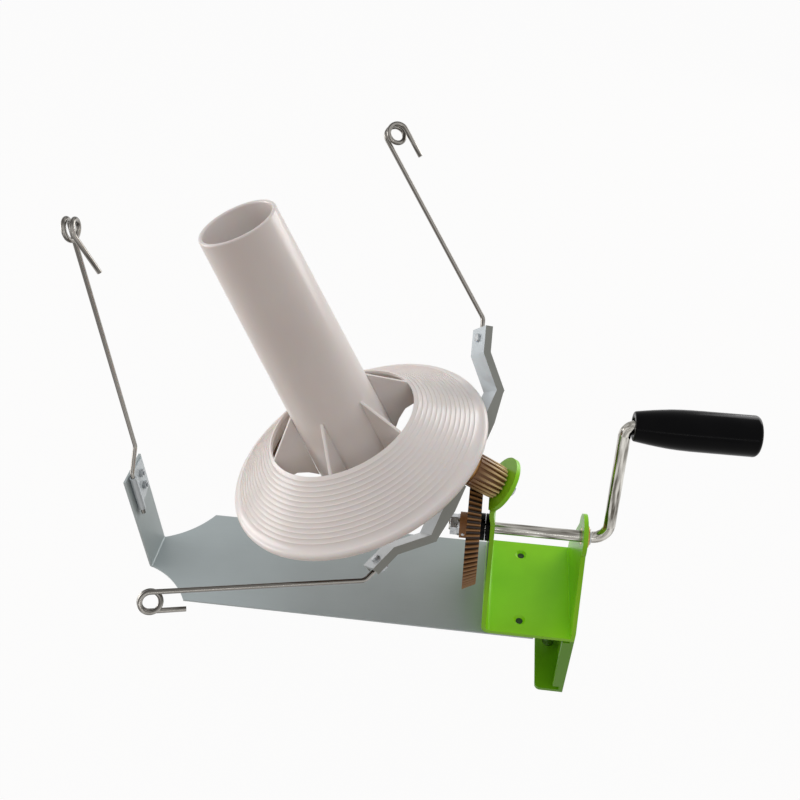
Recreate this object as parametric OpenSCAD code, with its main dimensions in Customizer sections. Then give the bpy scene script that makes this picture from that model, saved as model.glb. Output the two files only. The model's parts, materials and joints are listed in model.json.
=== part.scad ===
// Yarn ball winder, clamped to a table edge.
// A crank turns a bevel gear, the gear spins a flyer with two wire arms,
// and the flyer turns a tilted bobbin by a second bevel pair under its flange.
// Frame: +X along the crank shaft to the crank side, +Y away from the user, +Z up,
// origin on the table top, below the inner face of the left upright.

/* [Base plate] */
// Thickness of the zinc-plated base plate
plate_t = 1.5; // [1:0.1:2.5]
// Depth of the base plate and of the green floor, front to back
plate_w = 82.5; // [70:0.5:100]
// Length of the wide part of the plate to the left of the uprights
plate_reach = 220.5; // [200:0.5:240]
// Length of the narrow neck from the wide part to the tab
neck_len = 35; // [30:0.5:40]
// Width of the tab that is bent up at the left end
tab_w = 29; // [24:0.5:36]
// Radius of the concave cuts beside the neck
neck_arc_r = 63; // [50:1:90]
// Height of the tab above the table
tab_h = 92.5; // [92:0.5:110]
// How far the plate reaches under the green floor
plate_lap = 34; // [30:0.5:36]

/* [Frame bracket] */
// Thickness of the green sheet
sheet_t = 3; // [2.5:0.1:3.5]
// Width of the green U from the inner face of its left upright to the outer face of its right one
frame_w = 62.4; // [58:0.2:70]
// Radius of the round top of the right upright
ear_r = 15.5; // [14:0.5:17]
// Inner radius of the fold between the floor and the left upright
fold_r = 3.5; // [2.5:0.5:5]
// Radius of the tilted ear that holds the flyer axle
axle_ear_r = 19; // [17:0.5:20]
// Width of the neck below the tilted ear
ear_neck_w = 27; // [23:0.5:29]
// Height of the crank shaft above the table
shaft_h = 66.5; // [64:0.1:70]
// Distance of the plate screws from the inner face of the left upright
screw_x = 23.7; // [18:0.1:27]
// Distance between the two plate screws
screw_pitch = 58.8; // [50:0.2:64]
// Diameter of the plate screws
screw_d = 5; // [4:0.5:6]

/* [Table clamp] */
// Gap between the table top and the lower clamp arm
clamp_gap = 62; // [50:0.5:70]
// Length of the lower clamp arm along the shaft
clamp_arm_l = 21; // [18:0.5:26]
// Width of the folded edges of the clamp leg
leg_flange = 8; // [6:0.5:10]
// Diameter of the clamp screw
clamp_screw_d = 8; // [6:0.5:10]
// Diameter of the clamp pad
pad_d = 15; // [13:0.5:16]
// Distance from the table top to the top of the pad
pad_drop = 42; // [39:0.5:45]
// Length of the clamp screw between its pad and its bar
clamp_screw_l = 50; // [46:0.5:54]
// Length of the cross bar on the clamp screw
clamp_bar_l = 40; // [30:1:50]

/* [Crank] */
// Diameter of the crank rod
rod_d = 8; // [7:0.1:9]
// Distance from the right upright to the middle of the crank arm
crank_gap = 14.6; // [13.6:0.2:20]
// Throw of the crank, from the shaft to the grip axis
crank_throw = 86.5; // [70:0.5:100]
// Lean of the crank arm behind the vertical in the rest pose
crank_lean = 16; // [-30:1:45]
// Centre-line radius of the bend at the shaft
crank_bend_r = 11; // [9:0.5:12]
// Centre-line radius of the bend at the grip
grip_bend_r = 7; // [6.5:0.5:7.5]
// Length of the grip
grip_l = 77; // [70:0.5:90]
// Diameter of the grip at its inner end
grip_d1 = 19.5; // [18:0.5:22]
// Diameter of the grip where it is full
grip_d2 = 26.5; // [24:0.5:30]

/* [Gears] */
// Module of the crank gear and the flyer pinion at the large end
crank_module = 1.178; // [1.17:0.001:1.19]
// Teeth of the crank gear
crank_teeth = 72; // [72:72]
// Teeth of the flyer pinion
pinion_teeth = 20; // [20:20]
// Face width of the crank gear
crank_face = 9; // [7:0.5:10]
// Distance from the frame to the large end of the crank gear
crank_gear_x = 18.7; // [18:0.1:20]
// Pitch radius of the ring gear under the flange
ring_r = 62; // [61:0.1:63]
// Teeth of the ring gear
ring_teeth = 90; // [90:90]
// Teeth of the flyer gear that drives the ring
flyer_gear_teeth = 24; // [24:24]
// Face width of the ring gear
ring_face = 7; // [5:0.5:8]
// Thinning of each tooth, for play between the flanks
tooth_play = 0.3; // [0.25:0.01:0.4]

/* [Flyer] */
// Rise of the flyer axis above the horizontal
flyer_tilt = 32; // [31:0.1:33]
// Diameter of the flyer axle
axle_d = 8; // [7:0.1:9]
// Wall of the bronze sleeve in the flyer
sleeve_t = 1.5; // [1.2:0.1:2]
// Width of the flyer strip
strip_w = 20; // [18:0.5:22]
// Thickness of the flyer strip
strip_t = 2; // [1.5:0.1:2.5]
// Depth of the folded edges of the strip at its hub
strip_edge = 8; // [7:0.5:9]
// Depth of the folded edges on the two arms
arm_edge = 5; // [4:0.5:6]
// Distance from the apex of the crank gears to the back of the strip
strip_a = 114.5; // [113:0.1:117]
// Radius at the first bend of the strip
strip_r1 = 51.4; // [50:0.2:54]
// Radius at the second bend of the strip
strip_r2 = 68.6; // [66:0.2:72]
// Radius at the end of the strip
strip_r3 = 85.6; // [82:0.2:90]
// Diameter of the guide wires
wire_d = 3; // [2.5:0.1:3.2]
// Length of the straight part of the lower arm wire
lower_wire_l = 125; // [110:1:132]
// Length of the straight part of the upper arm wire
upper_wire_l = 131.5; // [110:0.5:135]
// Rise of the lower arm wire from the plane of the strip
lower_wire_rise = 63; // [58:0.5:64]
// Rise of the upper arm wire from the plane of the strip
upper_wire_rise = 57.5; // [54:0.5:62]
// Mean radius of a pigtail loop
eye_r = 5.8; // [5.2:0.1:7]
// Advance of a pigtail per turn
eye_pitch = 5; // [4.5:0.1:6]
// Resting angle of the flyer about its axis
flyer_rest = -127.5; // [-180:0.5:180]

/* [Bobbin] */
// Lean of the bobbin axis from the vertical
bobbin_tilt = 20; // [19:0.1:21]
// Distance from the gear apex to the point where the two axes cross
cross_a = 217; // [215:0.1:219]
// Height of the crossing point above the flange rim
cross_t = 57; // [56:0.1:58]
// Radius of the flange
flange_r = 88; // [84:0.5:92]
// Radius of the opening in the flange
opening_r = 48.5; // [47:0.1:50]
// Height of the opening above the flange rim
opening_t = 29; // [27:0.2:31]
// Thickness of the plastic
wall = 2.4; // [2:0.1:3]
// Radius of the tube at its bottom end
tube_r1 = 28.4; // [27:0.1:29]
// Radius of the tube at its top end
tube_r2 = 22.8; // [20:0.1:24]
// Height of the tube top above the flange rim
tube_t = 174; // [150:1:190]
// Number of ribs between the tube and the flange
rib_n = 6; // [6:6]
// Thickness of a rib
rib_t = 2; // [1.6:0.1:2.6]
// Number of raised rings on the flange
ridge_n = 13; // [9:1:15]
// Height of a raised ring
ridge_h = 0.7; // [0.4:0.1:1]
// Diameter of the bobbin spindle
spindle_d = 10; // [9:0.1:11]

/* [Feed guide] */
// Height of the straight guide wire above the table
guide_h = 279.5; // [240:0.5:290]
// Distance of the guide wire behind the middle of the tab
guide_y = 6.5; // [5:0.1:8]
// Distance of the clip barrel in front of the middle of the tab
barrel_y = 7.5; // [6:0.1:8]

/* [Fits] */
// Radial clearance of a running fit
run_gap = 0.05; // [0.03:0.01:0.1]
// Side play between pieces that turn past each other
side_gap = 0.3; // [0.2:0.05:0.5]
// Radial clearance of a hole over its screw
hole_gap = 0.2; // [0.1:0.05:0.4]

/* [Hidden] */
$fn = 64;

// Levels of the plate and the floor
floor_z = plate_t + sheet_t;
tab_x = -plate_reach - neck_len;
crank_x = frame_w + crank_gap;
left_x = -sheet_t;

// Bevel pair of crank gear and pinion: cone angles and common apex
crank_ratio = crank_teeth / pinion_teeth;
pinion_cone = atan(sin(flyer_tilt) / (crank_ratio + cos(flyer_tilt)));
gear_cone = flyer_tilt - pinion_cone;
gear_r = crank_module * crank_teeth / 2;
gear_dist = gear_r / sin(gear_cone);
apex = [gear_dist * cos(gear_cone) - crank_gear_x, 0, shaft_h];

// Bevel pair of flyer gear and ring gear: cone angles and sizes
axes_angle = 90 - flyer_tilt - bobbin_tilt;
ring_ratio = ring_teeth / flyer_gear_teeth;
fg_cone = atan(sin(axes_angle) / (ring_ratio - cos(axes_angle)));
ring_cone = axes_angle + fg_cone;
ring_dist = ring_r / sin(ring_cone);
ring_module = 2 * ring_r / ring_teeth;
fg_r = ring_dist * sin(fg_cone);
ring_t0 = cross_t - ring_dist * cos(ring_cone);
fg_a = cross_a - ring_dist * cos(fg_cone);
fg_len = ring_face * cos(fg_cone);

// Where the two axes cross, and the middle of the flange rim
axes_cross = apex + cross_a * [-cos(flyer_tilt), 0, sin(flyer_tilt)];
rim_mid = axes_cross - cross_t * [-sin(bobbin_tilt), 0, cos(bobbin_tilt)];

// Stations along the flyer axis, measured from the apex
washer_t = 1.5;
ear_a = 81;
collar_a = ear_a + sheet_t;
collar_t = 0.7;
collar_r = 5.5;
pinion_a = collar_a + collar_t + side_gap;
pinion_tooth_end = 106;
pinion_turned_r = 11.5;
sleeve_r = axle_d / 2 + run_gap + sleeve_t;
hub_flange_r = 17;
hub_flange_t = 4;
hub_screw_r = 13.2;
hub_screw_d = 3;
fg_end = fg_a + fg_len;
thrust_a = fg_end + side_gap;
bracket_a = thrust_a + washer_t;
bracket_t = 4;
stud_d = 6;
stud_lap = 1;
thin_nut_t = 3;
axle_nut_t = 5;
nut_r8 = 7.4;
axle_nut_r = 6.6;
nut_r6 = 5.77;

// Stations along the bobbin axis, measured from the flange rim
tube_t0 = -2;
boss_r = 10;
boss_t0 = -8;
boss_t1 = 46;
bush_t = 1.5;
bush_len = 12;
bush_flange = 2;
bush_r = spindle_d / 2 + run_gap + bush_t;
foot_t = boss_t0 - bush_flange - side_gap - 1.2;
foot_len_past = 11;
spindle_top = boss_t1 + bush_flange + side_gap + washer_t + 6;

// Small hardware
m3_r = 1.5;
clip_t = 1;
bush_wall = 2;
bush_flange_t = 3;
drive_hub_r = 9;
drive_hub_l = 5;
gear_nut_t = 5;

// Local axes: on_flyer puts z along the flyer axis, on_bobbin along the bobbin axis.
// In both, local x points up in the plane of symmetry and local y is the frame's y.
module on_flyer(a = 0) {
    translate(apex) rotate([0, flyer_tilt - 90, 0]) translate([0, 0, a]) children();
}
module on_bobbin(t = 0) {
    translate(rim_mid) rotate([0, -bobbin_tilt, 0]) translate([0, 0, t]) children();
}
module on_shaft(x = 0) {
    translate([x, 0, shaft_h]) rotate([0, 90, 0]) children();
}
// Crank plane: local x runs from the shaft up the crank arm, local z along the shaft
module on_crank(x = 0) {
    translate([x, 0, shaft_h]) rotate([-crank_lean, 0, 0]) rotate([0, 90, 0])
        rotate([0, 0, 180]) children();
}
module ring(r_out, r_in, h) {
    difference() {
        cylinder(r = r_out, h = h);
        translate([0, 0, -1]) cylinder(r = r_in, h = h + 2);
    }
}
module hex_nut(r, h, bore) {
    difference() {
        cylinder(r = r, h = h, $fn = 6);
        translate([0, 0, -1]) cylinder(r = bore, h = h + 2);
    }
}

// A folded strip as a polygon: inner points, and the same points set off by t
function unit(v) = v / norm(v);
function left_of(v) = [-v[1], v[0]];
function miter(p, i, t) =
    let (n = len(p) - 1,
         a = left_of(unit(p[min(i + 1, n)] - p[min(i, n - 1)])),
         b = left_of(unit(p[max(i, 1)] - p[max(i - 1, 0)])))
    p[i] + (a + b) * t / (1 + a * b);
module ribbon(p, t) {
    polygon(concat(p, [for (i = [len(p) - 1:-1:0]) miter(p, i, t)]));
}

// Involute bevel tooth: half angle at height h over the pitch cone, on the back cone
function inv(al) = tan(al) - al * PI / 180;
function tooth_half(h, r, n, cone, play) =
    let (rv = r / cos(cone), rb = rv * cos(20), rho = rv + h,
         al = rho > rb ? acos(rb / rho) : 0,
         half = PI * cos(cone) / (2 * n) - play / (2 * rv) + inv(20) - inv(al))
    half * rho / (r + h * cos(cone)) * 180 / PI;
function plane_r(h, r, cone) = r / tan(cone) * tan(cone + atan(h * sin(cone) / r));
function bevel_points(r, n, cone, heights, play) =
    [for (k = [0:n - 1], side = [-1, 1], j = [0:len(heights) - 1])
        let (h = heights[side < 0 ? j : len(heights) - 1 - j],
             w = 360 * k / n + side * tooth_half(h, r, n, cone, play))
        plane_r(h, r, cone) * [cos(w), sin(w)]];
// Teeth tapering to the apex, large end at z = 0, apex at +z
module bevel_teeth(r, n, cone, h, heights, play) {
    dist = r / tan(cone);
    linear_extrude(height = h, scale = (dist - h) / dist)
        polygon(bevel_points(r, n, cone, heights, play));
}

// A round wire swept along points, as one closed skin of triangles
wire_sides = 8;
function sweep_dir(p, i) = unit(p[min(i + 1, len(p) - 1)] - p[max(i - 1, 0)]);
// Each ring's first spoke is the last one's with its part along the wire taken out
function spokes(p, i, e) =
    let (d = sweep_dir(p, i), f = unit(e - (e * d) * d))
    i == len(p) - 1 ? [f] : concat([f], spokes(p, i + 1, f));
module sweep(p, r, first) {
    m = wire_sides;
    n = len(p);
    e = spokes(p, 0, first);
    pts = [for (i = [0:n - 1], k = [0:m - 1])
        let (d = sweep_dir(p, i), w = 360 * k / m)
        p[i] + r * (cos(w) * e[i] + sin(w) * cross(d, e[i]))];
    sides = [for (i = [0:n - 2], k = [0:m - 1])
        let (a = i * m + k, b = i * m + (k + 1) % m)
        each [[a, a + m, b], [b, a + m, b + m]]];
    last = (n - 1) * m;
    ends = [for (k = [1:m - 2]) each [[0, k, k + 1], [last, last + k + 1, last + k]]];
    polyhedron(pts, concat(sides, ends));
}
// A pigtail: one and a half turns of helix after point p, along wire direction d,
// round a middle on side s, advancing along ax, then a tail
eye_turns = 1.5;
eye_steps = 24;
function pigtail(p, d, s, ax, tail) =
    let (mid = p + eye_r * s,
         loop = [for (i = [1:eye_turns * eye_steps])
            let (w = 360 * i / eye_steps)
            mid - eye_r * cos(w) * s + eye_r * sin(w) * d + eye_pitch * i / eye_steps * ax])
    concat(loop, [loop[len(loop) - 1] + tail]);

// Base plate: zinc-plated sheet with a narrow neck and a tab bent up at the left
tab_bend = 2.5;
neck_root = [tab_x + tab_bend, tab_w / 2];
neck_corner = [-plate_reach, plate_w / 2];
neck_half = norm(neck_corner - neck_root) / 2;
neck_arc_mid = (neck_root + neck_corner) / 2
    + sqrt(pow(neck_arc_r, 2) - pow(neck_half, 2)) * left_of(unit(neck_corner - neck_root));
module base_plate() {
    color("lightslategray") {
        difference() {
            translate([tab_x + tab_bend, -plate_w / 2, 0])
                cube([plate_reach + neck_len + plate_lap - tab_bend, plate_w, plate_t]);
            for (s = [-1, 1]) {
                translate([neck_arc_mid[0], s * neck_arc_mid[1], -1])
                    cylinder(r = neck_arc_r, h = plate_t + 2, $fn = 128);
                translate([screw_x, s * screw_pitch / 2, -1])
                    cylinder(d = screw_d + 2 * hole_gap, h = plate_t + 2);
                translate([screw_x, s * screw_pitch / 2, -0.01])
                    cylinder(r1 = screw_d, r2 = screw_d / 2 + hole_gap, h = plate_t);
            }
        }
        translate([tab_x + tab_bend, tab_w / 2, tab_bend]) rotate([90, 0, 0]) intersection() {
            ring(tab_bend, tab_bend - plate_t, tab_w);
            translate([-tab_bend, -tab_bend, 0]) cube([tab_bend, tab_bend, tab_w]);
        }
        difference() {
            translate([tab_x, -tab_w / 2, tab_bend]) cube([plate_t, tab_w, tab_h - tab_bend]);
            clip_screw_places() cylinder(r = m3_r + hole_gap, h = 6, center = true);
        }
    }
}

// Plate screws: countersunk heads flush with the underside, tips below the dimples in the floor
dimple_r = 4.2;
dimple_t = 1.4;
module plate_screws() {
    tip = dimple_t + hole_gap;
    color("silver") for (s = [-1, 1]) translate([screw_x, s * screw_pitch / 2, 0]) {
        cylinder(r1 = screw_d - 2 * hole_gap, r2 = screw_d / 2, h = plate_t - hole_gap);
        cylinder(d = screw_d, h = floor_z - tip);
    }
}

// Frame bracket: one green sheet, a floor with two uprights; the left one ends in a tilted ear
ear_low = 11;
bush_hole_r = rod_d / 2 + run_gap + bush_wall;
neck_z = shaft_h + ear_r;
function flyer_xz(a, x) =
    [apex[0] - a * cos(flyer_tilt) + x * sin(flyer_tilt),
     apex[2] + a * sin(flyer_tilt) + x * cos(flyer_tilt)];
module upright_outline(top) {
    polygon([[-plate_w / 2, plate_t], [plate_w / 2, plate_t], [plate_w / 2, floor_z + 6],
        [ear_neck_w / 2, top], [-ear_neck_w / 2, top], [-plate_w / 2, floor_z + 6]]);
}
module upright(x, top, t = sheet_t) {
    translate([x, 0, 0]) rotate([90, 0, 90]) linear_extrude(height = t) upright_outline(top);
}
// The quarter of a square that lies outside a circle of radius r round its far corner
module corner_web(r) {
    difference() {
        square(r);
        translate([r, r]) circle(r = r);
    }
}
// Floor and left upright seen from the front, with a round fold between them
module floor_section() {
    difference() {
        translate([left_x, plate_t]) union() {
            square([frame_w - left_x, sheet_t]);
            square([sheet_t, neck_z - plate_t]);
            translate([sheet_t, sheet_t]) corner_web(fold_r);
        }
        translate([left_x, plate_t]) corner_web(fold_r + sheet_t);
    }
}
// The neck swings from the upright into the plane of the ear along a cubic curve
neck_swing = 6;
neck_steps = 8;
ear_foot = flyer_xz(ear_a, -ear_low);
ear_in = flyer_xz(ear_a, -ear_low + 3);
function cubic(a, b, c, d, t) =
    pow(1 - t, 3) * a + 3 * pow(1 - t, 2) * t * b + 3 * (1 - t) * pow(t, 2) * c + pow(t, 3) * d;
neck_curve = let (below = ear_foot - neck_swing * unit(ear_in - ear_foot))
    [for (i = [0:neck_steps])
        cubic(ear_foot, below, [left_x, neck_z + neck_swing], [left_x, neck_z], i / neck_steps)];
module frame_bracket() {
    color("yellowgreen") difference() {
        union() {
            intersection() {
                translate([0, plate_w / 2, 0]) rotate([90, 0, 0])
                    linear_extrude(height = plate_w) floor_section();
                upright(left_x, neck_z, frame_w - left_x);
            }
            translate([0, ear_neck_w / 2, 0]) rotate([90, 0, 0]) linear_extrude(height = ear_neck_w)
                ribbon(concat([ear_in], neck_curve, [[left_x, neck_z - 8]]), sheet_t);
            on_flyer(ear_a) intersection() {
                cylinder(r = axle_ear_r, h = sheet_t);
                translate([-ear_low, -axle_ear_r - 1, -1])
                    cube([2 * axle_ear_r + ear_low, 2 * axle_ear_r + 2, sheet_t + 2]);
            }
            upright(frame_w - sheet_t, shaft_h);
            on_shaft(frame_w - sheet_t) cylinder(r = ear_r, h = sheet_t);
        }
        on_shaft(left_x - 1) cylinder(r = bush_hole_r, h = frame_w - left_x + 2);
        on_flyer(ear_a - 1) cylinder(d = axle_d, h = sheet_t + 2);
        for (s = [-1, 1]) translate([screw_x, s * screw_pitch / 2, 0]) {
            translate([0, 0, plate_t - 1]) cylinder(d = screw_d, h = sheet_t + 2);
            translate([0, 0, floor_z - dimple_t])
                cylinder(r1 = screw_d / 2, r2 = dimple_r, h = dimple_t + 0.01);
        }
    }
}

// Clamp leg: green channel welded under the floor, with the lower clamp arm
leg_x = frame_w - sheet_t;
arm_top = -clamp_gap;
leg_inset = 0.5;
clamp_x = leg_x - pad_d / 2 - 0.5;
clamp_nut_r = 7.5;
clamp_nut_h = 8;
module clamp_leg() {
    corner = 4;
    color("olivedrab") difference() {
        union() {
            translate([leg_x, -plate_w / 2, arm_top - sheet_t])
                cube([sheet_t, plate_w, plate_t - arm_top + sheet_t]);
            translate([frame_w - clamp_arm_l, -plate_w / 2 + corner, arm_top - sheet_t])
                cube([clamp_arm_l, plate_w - 2 * corner, sheet_t]);
            translate([frame_w - clamp_arm_l + corner, -plate_w / 2, arm_top - sheet_t])
                cube([clamp_arm_l - corner, plate_w, sheet_t]);
            for (s = [-1, 1]) {
                translate([frame_w - clamp_arm_l + corner, s * (plate_w / 2 - corner), arm_top - sheet_t])
                    cylinder(r = corner, h = sheet_t);
                translate([frame_w - leg_flange, s > 0 ? plate_w / 2 - sheet_t : -plate_w / 2, arm_top + 4])
                    cube([leg_flange, sheet_t, -arm_top - 4 - leg_inset]);
            }
        }
        translate([clamp_x, 0, arm_top - sheet_t - 1])
            cylinder(d = clamp_screw_d + 2 * hole_gap, h = sheet_t + 2);
    }
}

// Clamp nut: round threaded boss welded under the lower arm
module clamp_nut() {
    color("darkolivegreen") translate([clamp_x, 0, arm_top - sheet_t - clamp_nut_h])
        ring(clamp_nut_r, clamp_screw_d / 2 + run_gap, clamp_nut_h);
}

// Clamp screw, its swivelling pad and its cross bar
pad_t = 5;
pad_socket = 2.5;
neck_gap = 0.3;
module clamp_pad() {
    color("dimgray") translate([clamp_x, 0, -pad_drop - pad_t]) difference() {
        cylinder(d = pad_d, h = pad_t);
        translate([0, 0, -1]) cylinder(r = clamp_screw_d / 2 - 1 + run_gap, h = pad_socket + 1);
    }
}
bar_d = 5;
clamp_z0 = -pad_drop - pad_t - neck_gap - clamp_screw_l;
head_r = 5;
head_h = 10;
module clamp_screw() {
    color("silver") translate([clamp_x, 0, clamp_z0]) difference() {
        union() {
            cylinder(d = clamp_screw_d, h = clamp_screw_l);
            cylinder(r = clamp_screw_d / 2 - 1, h = clamp_screw_l + neck_gap + pad_socket - side_gap);
            cylinder(r = head_r, h = head_h);
        }
        translate([0, 0, head_h / 2]) rotate([90, 0, 0]) cylinder(d = bar_d, h = 4 * head_r, center = true);
    }
}
module clamp_bar() {
    color("gray") translate([clamp_x, 0, clamp_z0 + head_h / 2]) rotate([90, 0, 0]) {
        cylinder(d = bar_d, h = clamp_bar_l, center = true);
        for (s = [-1, 1]) translate([0, 0, s * clamp_bar_l / 2]) sphere(d = bar_d + 3);
    }
}

// Crank bushes: black flanged bush in the left upright, brass one in the right
module flanged_bush(flange_r, flange_t, body_l) {
    difference() {
        union() {
            cylinder(r = flange_r, h = flange_t);
            cylinder(r = bush_hole_r, h = flange_t + body_l);
        }
        translate([0, 0, -1]) cylinder(r = rod_d / 2 + run_gap, h = flange_t + body_l + 2);
    }
}
inner_flange_r = 9.5;
outer_flange_r = 7.5;
outer_flange_t = 2;
module crank_bush_inner() {
    color("black") on_shaft(left_x - bush_flange_t) flanged_bush(inner_flange_r, bush_flange_t, sheet_t);
}
module crank_bush_outer() {
    color("goldenrod") on_shaft(frame_w + outer_flange_t) mirror([0, 0, 1])
        flanged_bush(outer_flange_r, outer_flange_t, sheet_t);
}

// Crank rod: one bent round bar, shaft, arm and grip pin
grip_x = crank_x + 4.5;
grip_cavity = 8;
pin_end = grip_x + grip_l - 12;
shaft_x0 = -crank_gear_x - drive_hub_l - washer_t - gear_nut_t - 1;
// The bends are drawn a hair thinner than the bar and run a little way into it
bend_lap = 0.3;
bend_thin = 0.1;
module rod_bend(x, y, r, turn) {
    on_crank(x) translate([y, 0, 0]) rotate([90, 0, 0]) rotate([0, 0, turn])
        rotate_extrude(angle = 90) translate([r, 0]) circle(d = rod_d - bend_thin);
}
module crank_rod() {
    color("gainsboro") difference() {
        union() {
            on_crank(shaft_x0) cylinder(d = rod_d, h = crank_x - crank_bend_r - shaft_x0 + bend_lap);
            rod_bend(crank_x - crank_bend_r, crank_bend_r, crank_bend_r, 90);
            on_crank(crank_x) translate([crank_bend_r - bend_lap, 0, 0]) rotate([0, 90, 0])
                cylinder(d = rod_d, h = crank_throw - crank_bend_r - grip_bend_r + 2 * bend_lap);
            rod_bend(crank_x + grip_bend_r, crank_throw - grip_bend_r, grip_bend_r, -90);
            on_crank(crank_x + grip_bend_r - bend_lap) translate([crank_throw, 0, 0])
                cylinder(d = rod_d, h = pin_end - crank_x - grip_bend_r + bend_lap);
        }
        gear_pin_at() cylinder(d = gear_pin_d, h = 4 * drive_hub_r, center = true);
    }
}

// Drive gear: tan nylon bevel gear on the shaft, pinned through its hub
gear_pin_d = 2.5;
module gear_pin_at() {
    on_shaft(-crank_gear_x - drive_hub_l / 2) rotate([90, 0, 0]) children();
}
drive_heights = [-1.25 * crank_module, 0, crank_module];
drive_root_r = plane_r(drive_heights[0], gear_r, gear_cone);
module drive_gear() {
    back = side_gap;
    color("burlywood") difference() {
        union() {
            on_shaft(-crank_gear_x)
                bevel_teeth(gear_r, crank_teeth, gear_cone, crank_face, drive_heights, tooth_play);
            on_shaft(-crank_gear_x - drive_hub_l) cylinder(r = drive_hub_r, h = drive_hub_l + 1);
        }
        on_shaft(-crank_gear_x - drive_hub_l - 1) cylinder(d = rod_d, h = drive_hub_l + crank_face + 2);
        on_shaft(-crank_gear_x - back) ring(drive_root_r - 5, drive_hub_r + 2, 2 + back);
        gear_pin_at() cylinder(d = gear_pin_d, h = 4 * drive_hub_r, center = true);
    }
}
module gear_pin() {
    color("silver") gear_pin_at() cylinder(d = gear_pin_d, h = 2 * drive_hub_r, center = true);
}
module gear_spacer() {
    x0 = -crank_gear_x + crank_face;
    x1 = left_x - bush_flange_t - side_gap;
    color("black") on_shaft(x0) ring(inner_flange_r, rod_d / 2 + run_gap, x1 - x0);
}
module gear_washer() {
    color("silver") on_shaft(-crank_gear_x - drive_hub_l - washer_t) ring(7.5, rod_d / 2, washer_t);
}
module gear_nut() {
    color("silver") on_shaft(-crank_gear_x - drive_hub_l - washer_t - gear_nut_t)
        hex_nut(nut_r8, gear_nut_t, rod_d / 2);
}
module crank_collar() {
    collar_len = 1;
    color("silver") on_shaft(frame_w + outer_flange_t + side_gap)
        ring(rod_d / 2 + 1.5, rod_d / 2, collar_len);
}

// Grip: gloss black sleeve that turns on the crank pin, closed by a round cap
grip_cap_l = 9;
module grip_profile() {
    bore = rod_d / 2 + run_gap;
    mouth = grip_bend_r - 2.5;
    mouth_flare = 2;
    polygon([[bore, mouth], [bore + mouth_flare, 0], [grip_d1 / 2 - 1.5, 0], [grip_d1 / 2, 1.5],
        [grip_d2 / 2 - 1, grip_l * 0.28],
        [grip_d2 / 2, grip_l * 0.45], [grip_d2 / 2, grip_l - grip_cap_l],
        [grip_clip_r + 1, grip_l - grip_cap_l],
        [grip_clip_r + 1, grip_l - grip_cap_l - grip_cavity], [bore, grip_l - grip_cap_l - grip_cavity]]);
}
module grip_sleeve() {
    color("black") on_crank(grip_x) translate([crank_throw, 0, 0]) rotate_extrude() grip_profile();
}
module grip_cap() {
    edge = 3;
    plug = 2;
    color("black") on_crank(grip_x + grip_l - grip_cap_l) translate([crank_throw, 0, 0]) {
        cylinder(d = grip_d2, h = grip_cap_l - edge);
        translate([0, 0, grip_cap_l - edge]) rotate_extrude() {
            square([grip_d2 / 2 - edge, edge]);
            translate([grip_d2 / 2 - edge, 0]) intersection() {
                circle(r = edge);
                square(edge);
            }
        }
        translate([0, 0, -plug]) cylinder(r = grip_clip_r + 1, h = plug);
    }
}
grip_clip_r = 7;
module grip_clip() {
    color("silver") on_crank(grip_x + grip_l - grip_cap_l - grip_cavity + side_gap)
        translate([crank_throw, 0, 0]) ring(grip_clip_r, rod_d / 2, 1.2);
}

// Flyer axle: fixed stud with a collar, held in the tilted ear by a nut
module flyer_axle() {
    tail = washer_t + axle_nut_t + 1.5;
    color("silver") {
        on_flyer(ear_a - tail) cylinder(d = axle_d, h = bracket_a - ear_a + tail);
        on_flyer(collar_a) cylinder(r = collar_r, h = collar_t);
        on_flyer(bracket_a - stud_lap) cylinder(d = stud_d, h = stud_lap + bracket_t + thin_nut_t + 0.5);
    }
}
module axle_washer() {
    color("silver") on_flyer(ear_a - washer_t) ring(axle_nut_r + 0.6, axle_d / 2, washer_t);
}
module axle_nut() {
    color("silver") on_flyer(ear_a - washer_t - axle_nut_t) hex_nut(axle_nut_r, axle_nut_t, axle_d / 2);
}
module thrust_washer() {
    color("silver") on_flyer(thrust_a) ring(7.5, axle_d / 2, washer_t);
}

// Spindle bracket: flat strip on the axle's front end, bent to carry the bobbin spindle
bracket_w = 18;
bracket_top = 8;
function bobbin_xz(t, x) =
    [rim_mid[0] - t * sin(bobbin_tilt) + x * cos(bobbin_tilt),
     rim_mid[2] + t * cos(bobbin_tilt) + x * sin(bobbin_tilt)];
// The bend lies where the back face of the arm meets the lower face of the foot
bracket_bend = let (o = flyer_xz(bracket_a, 0), q = bobbin_xz(foot_t - bracket_t, 0),
    x = ((q - o) * [-sin(bobbin_tilt), cos(bobbin_tilt)]) / sin(axes_angle)) flyer_xz(bracket_a, x);
module spindle_bracket() {
    top = flyer_xz(bracket_a, bracket_top);
    end = bobbin_xz(foot_t - bracket_t, -foot_len_past);
    color("slategray") difference() {
        translate([0, bracket_w / 2, 0]) rotate([90, 0, 0]) linear_extrude(height = bracket_w)
            ribbon([end, bracket_bend, top], bracket_t);
        on_flyer(bracket_a - 1) cylinder(d = stud_d, h = bracket_t + 2);
        on_bobbin(foot_t - bracket_t - 1) cylinder(d = spindle_d, h = bracket_t + 2);
    }
}
module bracket_nut() {
    color("silver") on_flyer(bracket_a + bracket_t) hex_nut(nut_r6, thin_nut_t, stud_d / 2);
}

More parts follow.
